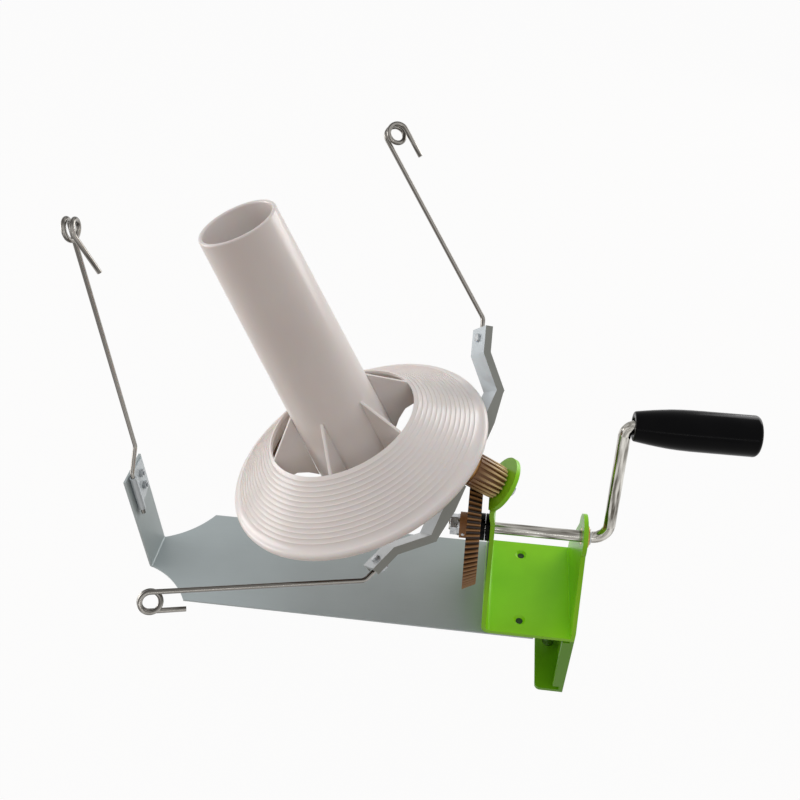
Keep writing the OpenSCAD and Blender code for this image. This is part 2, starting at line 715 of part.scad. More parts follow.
// Bobbin spindle: fixed steel pin, riveted into the bracket's foot
module bobbin_spindle() {
    rivet_t = 2.5;
    rivet_over = 2;
    shoulder_over = 3;
    rivet_lap = 0.5;
    color("silver") on_bobbin(foot_t) {
        translate([0, 0, -bracket_t - rivet_t]) cylinder(r = spindle_d / 2 + rivet_over, h = rivet_t);
        translate([0, 0, -bracket_t - rivet_lap])
            cylinder(d = spindle_d, h = spindle_top - foot_t + bracket_t + rivet_lap);
        cylinder(r = spindle_d / 2 + shoulder_over, h = boss_t0 - bush_flange - side_gap - foot_t);
    }
}
module spindle_washer() {
    color("silver") on_bobbin(boss_t1 + bush_flange + side_gap) ring(9, spindle_d / 2, washer_t);
}
module spindle_clip() {
    color("dimgray") on_bobbin(boss_t1 + bush_flange + side_gap + washer_t) ring(8, spindle_d / 2, 1.2);
}

// Flyer pinion: long tan bevel pinion behind the strip, its tips turned down to one diameter,
// with a flange for the hub screws
pinion_dist = gear_dist * cos(pinion_cone);
pinion_scale = pinion_tooth_end / pinion_dist;
pinion_r = crank_module * pinion_teeth / 2 * pinion_scale;
pinion_m = crank_module * pinion_scale;
pinion_heights = [for (f = [-1.25, -0.8, -0.4, 0, 0.5, 1]) f * pinion_m];
module hub_screw_places() {
    for (w = [0, 180]) rotate([0, 0, flyer_rest + w]) translate([hub_screw_r, 0, 0]) children();
}
module flyer_pinion() {
    color("burlywood") difference() {
        union() {
            intersection() {
                on_flyer(pinion_tooth_end) mirror([0, 0, 1]) rotate([0, 0, 180 + 180 / pinion_teeth])
                    bevel_teeth(pinion_r, pinion_teeth, pinion_cone, pinion_tooth_end - pinion_a,
                        pinion_heights, tooth_play * pinion_scale);
                on_flyer(pinion_a - 1) cylinder(r = pinion_turned_r, h = pinion_tooth_end - pinion_a + 2);
            }
            on_flyer(pinion_tooth_end - 1) cylinder(r = sleeve_r + 2.5, h = strip_a - pinion_tooth_end + 1);
            on_flyer(strip_a - hub_flange_t) cylinder(r = hub_flange_r, h = hub_flange_t);
        }
        on_flyer(pinion_a - 1) cylinder(r = sleeve_r, h = strip_a - pinion_a + 2);
        on_flyer(strip_a - hub_flange_t - 1) hub_screw_places()
            cylinder(d = hub_screw_d, h = hub_flange_t + 2);
    }
}
module flyer_sleeve() {
    color("peru") on_flyer(pinion_a) ring(sleeve_r, axle_d / 2 + run_gap, fg_end - pinion_a);
}

// Flyer gear: tan bevel gear in front of the strip, drives the ring under the flange
fg_heights = [for (f = [-1.25, -0.6, 0, 0.5, 1]) f * ring_module];
module flyer_gear() {
    front_a = strip_a + strip_t;
    color("burlywood") difference() {
        union() {
            on_flyer(fg_a)
                bevel_teeth(fg_r, flyer_gear_teeth, fg_cone, fg_len, fg_heights, tooth_play);
            on_flyer(front_a) cylinder(r = sleeve_r + 3.5, h = fg_a - front_a + 1);
            on_flyer(front_a) cylinder(r = hub_flange_r, h = hub_flange_t);
        }
        on_flyer(front_a - 1) cylinder(r = sleeve_r, h = fg_end - front_a + 2);
        on_flyer(front_a - 1) hub_screw_places() cylinder(d = hub_screw_d, h = hub_flange_t + 2);
    }
}
hub_nut_t = 2.4;
hub_nut_r = 3.1;
hub_head_t = 2;
module flyer_hub_screws() {
    head_a = strip_a - hub_flange_t;
    tip_a = strip_a + strip_t + hub_flange_t + hub_nut_t;
    color("silver") on_flyer(head_a) hub_screw_places() {
        translate([0, 0, -hub_head_t]) cylinder(d = hub_screw_d + 2.5, h = hub_head_t);
        translate([0, 0, -hub_head_t / 2]) cylinder(d = hub_screw_d, h = tip_a - head_a + hub_head_t);
    }
}
module flyer_hub_nuts() {
    color("silver") on_flyer(strip_a + strip_t + hub_flange_t) hub_screw_places()
        hex_nut(hub_nut_r, hub_nut_t, hub_screw_d / 2);
}

// Flyer bracket: steel strip with folded edges, bent forward into two arms
rise1 = 18.9;
rise2 = 25.3;
arm_profile = [[strip_r1, 0], [strip_r2, rise1], [strip_r3, rise2]];
strip_path = concat([for (i = [2:-1:0]) [-arm_profile[i][0], arm_profile[i][1]]], arm_profile);
arm_dir = unit(arm_profile[2] - arm_profile[1]);
arm_out = [arm_dir[1], -arm_dir[0]];
arm_screw_s = 7;
arm_screw_at = arm_profile[2] - arm_screw_s * arm_dir;
// Local axes on an arm's end: x outward along the strip, z away from the bobbin, from its inner face
module on_arm(turn) {
    on_flyer(strip_a + strip_t) rotate([0, 0, flyer_rest + turn])
        translate([arm_screw_at[0], 0, arm_screw_at[1]])
        rotate([0, -atan2(arm_dir[1], arm_dir[0]), 0]) mirror([0, 0, 1]) children();
}
// The edges are deepest at the hub and slope up to the arms' depth at the first bends
edge_slope = 20;
module edge_fold() {
    hub_end = strip_r1 - edge_slope;
    ribbon([for (i = [5:-1:0]) strip_path[i]], arm_edge);
    polygon([[-strip_r1, 0], [strip_r1, 0], [strip_r1, -arm_edge], [hub_end, -strip_edge],
        [-hub_end, -strip_edge], [-strip_r1, -arm_edge]]);
}
module flyer_bracket() {
    fold = strip_t;
    color("darkgray") difference() {
        on_flyer(strip_a + strip_t) rotate([0, 0, flyer_rest]) {
            translate([0, strip_w / 2, 0]) rotate([90, 0, 0]) linear_extrude(height = strip_w)
                ribbon([for (i = [5:-1:0]) strip_path[i]], strip_t);
            for (y = [-strip_w / 2 + fold, strip_w / 2]) translate([0, y, 0]) rotate([90, 0, 0])
                linear_extrude(height = fold) edge_fold();
        }
        on_flyer(strip_a - 1) cylinder(r = sleeve_r, h = strip_t + 2);
        on_flyer(strip_a - strip_edge) cylinder(r = hub_flange_r + hole_gap, h = strip_edge);
        on_flyer(strip_a - 1) hub_screw_places() cylinder(d = hub_screw_d, h = strip_t + 2);
        for (w = [0, 180]) on_arm(w) translate([0, 0, -1]) cylinder(r = m3_r + hole_gap, h = strip_t + 2);
    }
}

// Arm wires: 3 mm wire in the channel of the strip's end, bent forward, with a pigtail
wire_side_y = 3.2;
wire_hold = 15;
wire_root = arm_profile[2] - wire_hold * arm_dir + (strip_t + wire_d / 2) * arm_out;
wire_knee = wire_root + 1.5 * wire_hold * arm_dir;
wire_knee_r = 6;
wire_tail = 20;
function lift(p, y = 0) = [p[0], y, p[1]];
function arm_wire_points(length, rise) = let (
    d0 = atan2(arm_dir[1], arm_dir[0]),
    turn = rise - d0,
    dir = [cos(rise), sin(rise)],
    knee_mid = wire_knee - wire_knee_r * tan(turn / 2) * arm_dir + wire_knee_r * left_of(arm_dir),
    knee = [for (i = [0:4]) let (w = d0 - 90 + turn * i / 4)
        lift(knee_mid + wire_knee_r * [cos(w), sin(w)], wire_side_y)],
    end = lift(wire_knee + length * dir, wire_side_y))
    concat([lift(wire_root, wire_side_y)], knee, [end],
        pigtail(end, lift(dir), lift([dir[1], -dir[0]]), [0, -1, 0], -wire_tail * lift(dir)));
module arm_wire(turn, length, rise) {
    color("gainsboro") on_flyer(strip_a + strip_t) rotate([0, 0, flyer_rest + turn])
        sweep(arm_wire_points(length, rise), wire_d / 2, [0, 1, 0]);
}
module arm_wire_lower() {
    arm_wire(0, lower_wire_l, lower_wire_rise);
}
module arm_wire_upper() {
    arm_wire(180, upper_wire_l, upper_wire_rise);
}

// Arm clips: bent washers that press the wire roots into the channel, with screw and nut
arm_clip_l = 9;
arm_clip_y0 = -5;
arm_clip_y1 = 5.5;
clip_z = strip_t + wire_d + 0.1;
module arm_clips() {
    color("silver") for (w = [0, 180]) on_arm(w) difference() {
        union() {
            translate([-arm_clip_l / 2, arm_clip_y0, clip_z])
                cube([arm_clip_l, arm_clip_y1 - arm_clip_y0, clip_t]);
            translate([-arm_clip_l / 2, arm_clip_y0, strip_t])
                cube([arm_clip_l, clip_t, clip_z - strip_t]);
        }
        cylinder(r = m3_r + hole_gap, h = clip_z + clip_t + 1);
    }
}
module arm_screws() {
    head_t = 1.8;
    color("silver") for (w = [0, 180]) on_arm(w) {
        translate([0, 0, -head_t]) cylinder(r = m3_r + 1.3, h = head_t);
        translate([0, 0, -head_t / 2]) cylinder(r = m3_r, h = head_t / 2 + clip_z + clip_t + hub_nut_t);
    }
}
module arm_nuts() {
    color("silver") for (w = [0, 180]) on_arm(w) translate([0, 0, clip_z + clip_t])
        hex_nut(hub_nut_r, hub_nut_t, m3_r);
}

// Bobbin tube: white tapered tube with a bottom web and a boss for the bushes
module bobbin_tube() {
    web_t = 3.5;
    color("white") on_bobbin() difference() {
        union() {
            rotate_extrude() polygon([[tube_r1, tube_t0], [tube_r2, tube_t - 1], [tube_r2 - 0.8, tube_t],
                [tube_r2 - wall, tube_t], [tube_r1 - wall, tube_t0]]);
            translate([0, 0, tube_t0]) cylinder(r = tube_r1 - wall + 0.1, h = web_t);
            translate([0, 0, boss_t0]) cylinder(r = boss_r, h = boss_t1 - boss_t0);
        }
        translate([0, 0, boss_t0 - 1]) cylinder(r = bush_r, h = boss_t1 - boss_t0 + 2);
    }
}

// Bobbin flange: white cone with raised rings, six ribs and a collar round the tube
collar_gap = 0.1;
flange_collar_t = 2;
collar_t0 = 6;
collar_t1 = 24;
rim_bead = 3;
function tube_r(t) = tube_r1 + (tube_r2 - tube_r1) * (t - tube_t0) / (tube_t - tube_t0);
cone_r0 = flange_r - rim_bead;
cone_slope = (opening_t - rim_bead) / (cone_r0 - opening_r);
function cone_t(r) = rim_bead + (cone_r0 - r) * cone_slope;
seat_t = 12;
seat_r0 = 57;
ring_r_out = 65.5;
module flange_profile() {
    pitch = (cone_r0 - opening_r - 4) / ridge_n;
    drop = wall * sqrt(1 + cone_slope * cone_slope);
    top = [for (i = [0:ridge_n - 1], k = [0:2])
        let (r = opening_r + 2 + (i + k / 3) * pitch) [r, cone_t(r) + (k == 1 ? ridge_h : 0)]];
    polygon(concat([[opening_r, cone_t(opening_r) - drop], [opening_r, cone_t(opening_r)]], top,
        [[cone_r0, rim_bead], [cone_r0, rim_bead - drop]]));
    translate([cone_r0, 0]) circle(r = rim_bead);
    polygon([[seat_r0, seat_t], [ring_r_out, seat_t], [ring_r_out, cone_t(ring_r_out) - 0.5],
        [seat_r0, cone_t(seat_r0) - 0.5]]);
}
rib_top = 50;
rib_turn = 33;
rib_foot_t = opening_t - 12;
rib_low_r = opening_r - 10.5;
rib_low_t = rib_foot_t - 2;
module rib_profile() {
    inner = tube_r(collar_t0) + collar_gap + flange_collar_t / 2;
    polygon([[tube_r(rib_top) + collar_gap, rib_top], [opening_r + 0.5, opening_t - 0.3],
        [opening_r + 0.5, rib_foot_t], [rib_low_r, rib_low_t], [inner, collar_t0], [inner, collar_t1],
        [tube_r(collar_t1) + collar_gap, collar_t1]]);
}
module bobbin_flange() {
    color("whitesmoke") on_bobbin() {
        rotate_extrude() flange_profile();
        rotate_extrude() polygon([
            [tube_r(collar_t0) + collar_gap, collar_t0], [tube_r(collar_t1) + collar_gap, collar_t1],
            [tube_r(collar_t1) + collar_gap + 0.6, collar_t1],
            [tube_r(collar_t0) + collar_gap + flange_collar_t, collar_t0]]);
        for (k = [0:rib_n - 1]) rotate([0, 0, rib_turn + 360 * k / rib_n]) rotate([90, 0, 0])
            linear_extrude(height = rib_t, center = true) rib_profile();
    }
}

// Ring gear: tan nylon ring with inner bevel teeth, bonded under the flange
ring_heights = [-0.95 * ring_module, 0, 1.25 * ring_module];
ring_t_low = ring_t0 - 1.5;
module bobbin_gear() {
    cut_len = seat_t - ring_t_low;
    dist = cross_t - ring_t_low;
    grow = dist / (cross_t - ring_t0);
    color("burlywood") on_bobbin() difference() {
        translate([0, 0, ring_t_low])
            ring(ring_r_out, plane_r(-ring_module, ring_r, ring_cone) - 9, seat_t - ring_t_low);
        translate([0, 0, ring_t_low]) scale(grow)
            bevel_teeth(ring_r, ring_teeth, ring_cone, cut_len / grow + 0.5, ring_heights, -tooth_play);
    }
}

// Bobbin bushes: bronze, pressed into both ends of the boss
module bobbin_bush() {
    difference() {
        union() {
            cylinder(r = bush_r, h = bush_len);
            translate([0, 0, -bush_flange]) cylinder(r = bush_r + 2, h = bush_flange);
        }
        translate([0, 0, -bush_flange - 1])
            cylinder(r = spindle_d / 2 + run_gap, h = bush_len + bush_flange + 2);
    }
}
module bobbin_bush_lower() {
    color("peru") on_bobbin(boss_t0) bobbin_bush();
}
module bobbin_bush_upper() {
    color("peru") on_bobbin(boss_t1) mirror([0, 0, 1]) bobbin_bush();
}

// Feed guide: wire with a pigtail, held in a rolled clip that is screwed to the tab
clip_wall = 1;
barrel_r = wire_d / 2 + clip_wall;
barrel_z0 = 60;
barrel_l = 31;
clip_screw_y = 6;
clip_screw_z = [70, 82];
guide_stub = 5;
guide_tail = [9, 0, -23];
guide_x = tab_x + plate_t + barrel_r;
module on_tab(y, z) {
    translate([tab_x + plate_t, y, z]) rotate([0, 90, 0]) children();
}
module clip_screw_places() {
    for (z = clip_screw_z) on_tab(clip_screw_y, z) children();
}
guide_points = let (
    jog_z = barrel_z0 + barrel_l + 2,
    jog = guide_y + barrel_y,
    top = [guide_x, guide_y, guide_h])
    concat([[guide_x, -barrel_y, barrel_z0 - guide_stub], [guide_x, -barrel_y, jog_z],
        [guide_x, -barrel_y + 1, jog_z + 2], [guide_x, -barrel_y + jog - 1, jog_z + jog],
        [guide_x, guide_y, jog_z + jog + 2], top],
        pigtail(top, [0, 0, 1], [0, -1, 0], [1, 0, 0], guide_tail));
module feed_guide_wire() {
    color("gainsboro") sweep(guide_points, wire_d / 2, [1, 0, 0]);
}
module feed_guide_clip() {
    flat_y = tab_w / 2 - 1.5;
    cut = 9;
    color("silver") difference() {
        union() {
            translate([guide_x, -barrel_y, barrel_z0]) cylinder(r = barrel_r, h = barrel_l);
            translate([tab_x + plate_t, 0, barrel_z0]) rotate([90, 0, 90]) linear_extrude(height = clip_wall)
                polygon([[-barrel_y, 0], [flat_y - cut, 0], [flat_y, cut / 2],
                    [flat_y, barrel_l], [-barrel_y, barrel_l]]);
        }
        translate([guide_x, -barrel_y, barrel_z0 - 1]) cylinder(d = wire_d, h = barrel_l + 2);
        clip_screw_places() cylinder(r = m3_r + hole_gap, h = 6, center = true);
    }
}
module feed_guide_screws() {
    head_t = 1.8;
    len = plate_t + clip_wall + hub_nut_t + 1;
    color("silver") clip_screw_places() translate([0, 0, -plate_t]) {
        translate([0, 0, -head_t]) cylinder(r = m3_r + 1.3, h = head_t);
        translate([0, 0, -head_t / 2]) cylinder(r = m3_r, h = head_t / 2 + len);
    }
}
module feed_guide_nuts() {
    color("silver") clip_screw_places() translate([0, 0, clip_wall])
        hex_nut(hub_nut_r, hub_nut_t, m3_r);
}

// Least gap between the turns of a pigtail, measured on its centre line
eye_line = pigtail([0, 0, 0], [0, 0, 1], [0, -1, 0], [1, 0, 0], guide_tail);
eye_gap = min([for (i = [0:len(eye_line) - 2], j = [0:len(eye_line) - 2])
    if (j - i > eye_steps / 2) norm(eye_line[i] - eye_line[j])]) - wire_d;
echo(eye_gap = eye_gap);

base_plate();
frame_bracket();
clamp_leg();
plate_screws();
clamp_nut();
crank_bush_inner();
crank_bush_outer();
flyer_axle();
axle_washer();
axle_nut();
spindle_bracket();
bracket_nut();
thrust_washer();
bobbin_spindle();
spindle_washer();
spindle_clip();
feed_guide_wire();
feed_guide_clip();
feed_guide_screws();
feed_guide_nuts();
crank_rod();
drive_gear();
gear_pin();
gear_spacer();
gear_washer();
gear_nut();
crank_collar();
grip_clip();
grip_sleeve();
grip_cap();
flyer_bracket();
flyer_pinion();
flyer_sleeve();
flyer_gear();
flyer_hub_screws();
flyer_hub_nuts();
arm_wire_lower();
arm_wire_upper();
arm_clips();
arm_screws();
arm_nuts();
bobbin_tube();
bobbin_flange();
bobbin_gear();
bobbin_bush_lower();
bobbin_bush_upper();
clamp_pad();
clamp_screw();
clamp_bar();
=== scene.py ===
import bpy
import bmesh
import json
import math
from mathutils import Matrix, Vector

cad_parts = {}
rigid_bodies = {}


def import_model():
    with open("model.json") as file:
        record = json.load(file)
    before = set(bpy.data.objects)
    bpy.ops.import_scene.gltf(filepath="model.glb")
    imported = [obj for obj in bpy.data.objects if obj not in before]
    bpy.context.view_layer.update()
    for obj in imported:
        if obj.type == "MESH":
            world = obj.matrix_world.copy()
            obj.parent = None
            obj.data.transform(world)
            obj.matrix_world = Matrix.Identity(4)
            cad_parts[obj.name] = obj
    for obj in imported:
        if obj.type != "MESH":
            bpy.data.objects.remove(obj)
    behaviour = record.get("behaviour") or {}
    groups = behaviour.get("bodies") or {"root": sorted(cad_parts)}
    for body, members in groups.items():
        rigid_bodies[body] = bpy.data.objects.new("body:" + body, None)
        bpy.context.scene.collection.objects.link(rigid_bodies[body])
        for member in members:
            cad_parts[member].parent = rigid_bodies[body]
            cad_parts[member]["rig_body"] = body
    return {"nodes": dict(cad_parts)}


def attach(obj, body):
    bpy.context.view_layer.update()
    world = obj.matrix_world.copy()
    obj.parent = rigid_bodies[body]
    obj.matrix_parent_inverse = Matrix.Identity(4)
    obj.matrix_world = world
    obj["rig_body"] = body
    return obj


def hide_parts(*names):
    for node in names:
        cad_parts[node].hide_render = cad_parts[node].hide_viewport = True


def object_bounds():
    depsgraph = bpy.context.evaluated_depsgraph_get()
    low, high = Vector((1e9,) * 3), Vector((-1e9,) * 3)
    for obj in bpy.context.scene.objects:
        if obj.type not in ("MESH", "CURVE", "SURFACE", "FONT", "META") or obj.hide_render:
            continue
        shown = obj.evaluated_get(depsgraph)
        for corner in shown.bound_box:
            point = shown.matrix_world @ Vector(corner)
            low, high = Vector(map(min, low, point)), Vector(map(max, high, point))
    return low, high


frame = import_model()
cad_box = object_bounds()

# Camera, at the place the photograph was taken from: in front of the winder, well above it,
# turned a little to the left and tilted down.
camera = bpy.data.objects.new("camera", bpy.data.cameras.new("camera"))
bpy.context.scene.collection.objects.link(camera)
camera.location = (-0.01510, -0.38149, 0.50775)
camera.rotation_euler = (math.radians(90 - 41.32), 0, math.radians(7.27))
camera.data.sensor_width = 36
camera.data.lens = 37.35
camera.data.shift_x = -0.0033
camera.data.shift_y = 0.0101
camera.data.clip_start = 0.01
bpy.context.scene.camera = camera
bpy.context.scene.view_settings.view_transform = "Standard"

# Studio: a pale floor below the clamp's lowest place, a soft sky that is cool overhead and warm at the
# sides, a large low lamp on either side, a little behind the winder, and a long thin one in front.
# Camera rays and reflections see the surround as plain white.
floor_drop, floor_reach = 0.016, 4
floor_z = cad_box[0][2] - floor_drop
floor_corners = [(x * floor_reach, y * floor_reach, floor_z) for x, y in ((-1, -1), (1, -1), (1, 1), (-1, 1))]
floor_mesh = bpy.data.meshes.new("floor")
floor_mesh.from_pydata(floor_corners, [], [(0, 1, 2, 3)])
floor = bpy.data.objects.new("floor", floor_mesh)
bpy.context.scene.collection.objects.link(floor)


def seen_directly(nodes, links):
    """One for rays that reach the camera straight, by a reflection or through glass, and else nought."""
    path = nodes.new("ShaderNodeLightPath")
    either = nodes.new("ShaderNodeMath")
    either.operation = "MAXIMUM"
    links.new(path.outputs["Is Camera Ray"], either.inputs[0])
    links.new(path.outputs["Is Glossy Ray"], either.inputs[1])
    any_ray = nodes.new("ShaderNodeMath")
    any_ray.operation = "MAXIMUM"
    links.new(either.outputs[0], any_ray.inputs[0])
    links.new(path.outputs["Is Transmission Ray"], any_ray.inputs[1])
    return any_ray.outputs[0]


floor_paper = bpy.data.materials.new("floor_paper")
floor_paper.use_nodes = True
paper_nodes, paper_links = floor_paper.node_tree.nodes, floor_paper.node_tree.links
paper_nodes.clear()
paper_white = paper_nodes.new("ShaderNodeEmission")
paper_grain = paper_nodes.new("ShaderNodeBsdfDiffuse")
paper_grain.inputs["Color"].default_value = (0.36, 0.29, 0.24, 1)
paper_share = paper_nodes.new("ShaderNodeMath")
paper_share.operation = "MULTIPLY"
paper_share.inputs[1].default_value = 0.96
paper_mix = paper_nodes.new("ShaderNodeMixShader")
paper_out = paper_nodes.new("ShaderNodeOutputMaterial")
paper_links.new(seen_directly(paper_nodes, paper_links), paper_share.inputs[0])
paper_links.new(paper_share.outputs[0], paper_mix.inputs[0])
paper_links.new(paper_grain.outputs[0], paper_mix.inputs[1])
paper_links.new(paper_white.outputs[0], paper_mix.inputs[2])
paper_links.new(paper_mix.outputs[0], paper_out.inputs[0])
floor.data.materials.append(floor_paper)

surround = bpy.data.worlds.new("surround")
bpy.context.scene.world = surround
surround.use_nodes = True
sky_nodes, sky_links = surround.node_tree.nodes, surround.node_tree.links
sky_nodes.clear()
sky_light = sky_nodes.new("ShaderNodeBackground")
sky_at = sky_nodes.new("ShaderNodeTexCoord")
sky_height = sky_nodes.new("ShaderNodeSeparateXYZ")
sky_shade = sky_nodes.new("ShaderNodeMix")
sky_shade.data_type = "RGBA"
sky_shade.inputs[6].default_value = (0.16, 0.105, 0.075, 1)
sky_shade.inputs[7].default_value = (0.83, 0.84, 0.86, 1)
sky_links.new(sky_at.outputs["Generated"], sky_height.inputs[0])
sky_links.new(sky_height.outputs["Z"], sky_shade.inputs[0])
sky_links.new(sky_shade.outputs[2], sky_light.inputs["Color"])
sky_seen = sky_nodes.new("ShaderNodeBackground")
sky_mix = sky_nodes.new("ShaderNodeMixShader")
sky_out = sky_nodes.new("ShaderNodeOutputWorld")
sky_links.new(seen_directly(sky_nodes, sky_links), sky_mix.inputs[0])
sky_links.new(sky_light.outputs[0], sky_mix.inputs[1])
sky_links.new(sky_seen.outputs[0], sky_mix.inputs[2])
sky_links.new(sky_mix.outputs[0], sky_out.inputs[0])


def soft_lamp(name, place, aim, width, height, watts):
    lamp = bpy.data.objects.new(name, bpy.data.lights.new(name, "AREA"))
    lamp.data.shape = "RECTANGLE"
    lamp.data.size = width
    lamp.data.size_y = height
    lamp.data.energy = watts
    lamp.location = place
    lamp.rotation_euler = (Vector(aim) - Vector(place)).to_track_quat("-Z", "Y").to_euler()
    bpy.context.scene.collection.objects.link(lamp)


soft_lamp("lamp_right", (0.84, 1.04, 0.45), (-0.1, 0, 0.2), 0.9, 0.8, 8.5)
soft_lamp("lamp_left", (-1.38, 0.08, 0.26), (-0.1, 0, 0.2), 0.9, 0.7, 8.5)
soft_lamp("lamp_front", (0.1, -1.3, 0.56), (0, 0, 0.15), 1.5, 0.05, 0.9)

# Base plate: zinc-plated steel sheet, cut to a neck at the left and bent up there into a tab.
# The plating is dull and blue-grey, with faint cloudy crystals and fine rolling marks along X.


def linear(r, g, b):
    """A screen colour, each part from 0 to 255, as the linear colour that a socket takes."""
    shares = (part / 255 for part in (r, g, b))
    return tuple(s / 12.92 if s <= 10 / 255 else ((s + 0.055) / 1.055) ** 2.4 for s in shares) + (1,)


def shade_group(name, outputs, inputs):
    """An empty shader group with named values in and masks out."""
    group = bpy.data.node_groups.new(name, "ShaderNodeTree")
    for socket, value in inputs:
        made = group.interface.new_socket(socket, in_out="INPUT", socket_type="NodeSocketFloat")
        made.default_value = value
    for socket in outputs:
        group.interface.new_socket(socket, in_out="OUTPUT", socket_type="NodeSocketFloat")
    return group, group.nodes.new("NodeGroupInput"), group.nodes.new("NodeGroupOutput")


# Cloudy unevenness: a soft noise on the piece's own coordinates, in metres
mottle, mottle_in, mottle_out = shade_group(
    "cloudy_mottle", ["Mask"], [("Scale", 60), ("Detail", 4), ("Contrast", 1)])
mottle_at = mottle.nodes.new("ShaderNodeTexCoord")
mottle_noise = mottle.nodes.new("ShaderNodeTexNoise")
mottle_range = mottle.nodes.new("ShaderNodeMapRange")
mottle_low = mottle.nodes.new("ShaderNodeMath")
mottle_low.operation = "MULTIPLY_ADD"
mottle_low.inputs[1].default_value = 0.25
mottle_low.inputs[2].default_value = 0.05
mottle.links.new(mottle_at.outputs["Object"], mottle_noise.inputs["Vector"])
mottle.links.new(mottle_in.outputs["Scale"], mottle_noise.inputs["Scale"])
mottle.links.new(mottle_in.outputs["Detail"], mottle_noise.inputs["Detail"])
mottle.links.new(mottle_noise.outputs[0], mottle_range.inputs["Value"])
mottle.links.new(mottle_in.outputs["Contrast"], mottle_low.inputs[0])
mottle.links.new(mottle_low.outputs[0], mottle_range.inputs["From Min"])
mottle_high = mottle.nodes.new("ShaderNodeMath")
mottle_high.operation = "SUBTRACT"
mottle_high.inputs[0].default_value = 1
mottle.links.new(mottle_low.outputs[0], mottle_high.inputs[1])
mottle.links.new(mottle_high.outputs[0], mottle_range.inputs["From Max"])
mottle.links.new(mottle_range.outputs[0], mottle_out.inputs["Mask"])

# Fine parallel marks, from rolling, drawing or turning: a noise stretched along one direction
marks, marks_in, marks_out = shade_group(
    "tool_marks", ["Mask"], [("Along X", 1), ("Along Y", 1), ("Along Z", 1), ("Scale", 900)])
marks_at = marks.nodes.new("ShaderNodeTexCoord")
marks_join = marks.nodes.new("ShaderNodeCombineXYZ")
marks_stretch = marks.nodes.new("ShaderNodeVectorMath")
marks_stretch.operation = "MULTIPLY"
marks_noise = marks.nodes.new("ShaderNodeTexNoise")
marks_noise.inputs["Detail"].default_value = 3
for axis in "XYZ":
    marks.links.new(marks_in.outputs["Along " + axis], marks_join.inputs[axis])
marks.links.new(marks_at.outputs["Object"], marks_stretch.inputs[0])
marks.links.new(marks_join.outputs[0], marks_stretch.inputs[1])
marks.links.new(marks_stretch.outputs[0], marks_noise.inputs["Vector"])
marks.links.new(marks_in.outputs["Scale"], marks_noise.inputs["Scale"])
marks.links.new(marks_noise.outputs[0], marks_out.inputs["Mask"])

# Small pale flecks, from dust under the finish and from handling: only the peaks of a fine noise show
flecks, flecks_in, flecks_out = shade_group("flecks", ["Mask"], [("Scale", 500), ("Share", 0.3)])
flecks_at = flecks.nodes.new("ShaderNodeTexCoord")
flecks_noise = flecks.nodes.new("ShaderNodeTexNoise")
flecks_noise.inputs["Detail"].default_value = 5
flecks_noise.inputs["Roughness"].default_value = 0.7
flecks_peak = flecks.nodes.new("ShaderNodeMath")
flecks_peak.operation = "SUBTRACT"
flecks_peak.inputs[0].default_value = 1
flecks_cut = flecks.nodes.new("ShaderNodeMapRange")
flecks_cut.inputs["From Max"].default_value = 0.85
flecks.links.new(flecks_at.outputs["Object"], flecks_noise.inputs["Vector"])
flecks.links.new(flecks_in.outputs["Scale"], flecks_noise.inputs["Scale"])
flecks.links.new(flecks_in.outputs["Share"], flecks_peak.inputs[1])
flecks.links.new(flecks_noise.outputs[0], flecks_cut.inputs["Value"])
flecks.links.new(flecks_peak.outputs[0], flecks_cut.inputs["From Min"])
flecks.links.new(flecks_cut.outputs[0], flecks_out.inputs["Mask"])


class Finish:
    """One material under construction: its shader, and ways to vary colour, roughness and relief."""

    def __init__(self, name, roughness, metallic=0.0, coat=0.0, coat_roughness=0.05):
        self.material = bpy.data.materials.new(name)
        self.material.use_nodes = True
        self.nodes, self.links = self.material.node_tree.nodes, self.material.node_tree.links
        self.shader = self.nodes["Principled BSDF"]
        self.shader.inputs["Roughness"].default_value = roughness
        self.shader.inputs["Metallic"].default_value = metallic
        self.shader.inputs["Coat Weight"].default_value = coat
        self.shader.inputs["Coat Roughness"].default_value = coat_roughness

    def mask(self, group, **values):
        node = self.nodes.new("ShaderNodeGroup")
        node.node_tree = group
        for socket, value in values.items():
            node.inputs[socket.replace("_", " ")].default_value = value
        return node.outputs["Mask"]

    def colour(self, mask, dark, light):
        mix = self.nodes.new("ShaderNodeMix")
        mix.data_type = "RGBA"
        mix.inputs[6].default_value = dark
        mix.inputs[7].default_value = light
        self.links.new(mask, mix.inputs[0])
        self.links.new(mix.outputs[2], self.shader.inputs["Base Color"])
        return mix.outputs[2]

    def tint(self, colour, mask, second, share):
        part = self.nodes.new("ShaderNodeMath")
        part.operation = "MULTIPLY"
        part.inputs[1].default_value = share
        mix = self.nodes.new("ShaderNodeMix")
        mix.data_type = "RGBA"
        mix.inputs[7].default_value = second
        self.links.new(mask, part.inputs[0])
        self.links.new(part.outputs[0], mix.inputs[0])
        self.links.new(colour, mix.inputs[6])
        self.links.new(mix.outputs[2], self.shader.inputs["Base Color"])
        return mix.outputs[2]

    def roughness(self, mask, low, high):
        spread = self.nodes.new("ShaderNodeMapRange")
        spread.inputs["To Min"].default_value = low
        spread.inputs["To Max"].default_value = high
        self.links.new(mask, spread.inputs["Value"])
        self.links.new(spread.outputs[0], self.shader.inputs["Roughness"])

    def relief(self, mask, height, strength=0.4):
        bump = self.nodes.new("ShaderNodeBump")
        bump.inputs["Strength"].default_value = strength
        bump.inputs["Distance"].default_value = height
        self.links.new(mask, bump.inputs["Height"])
        self.links.new(bump.outputs[0], self.shader.inputs["Normal"])


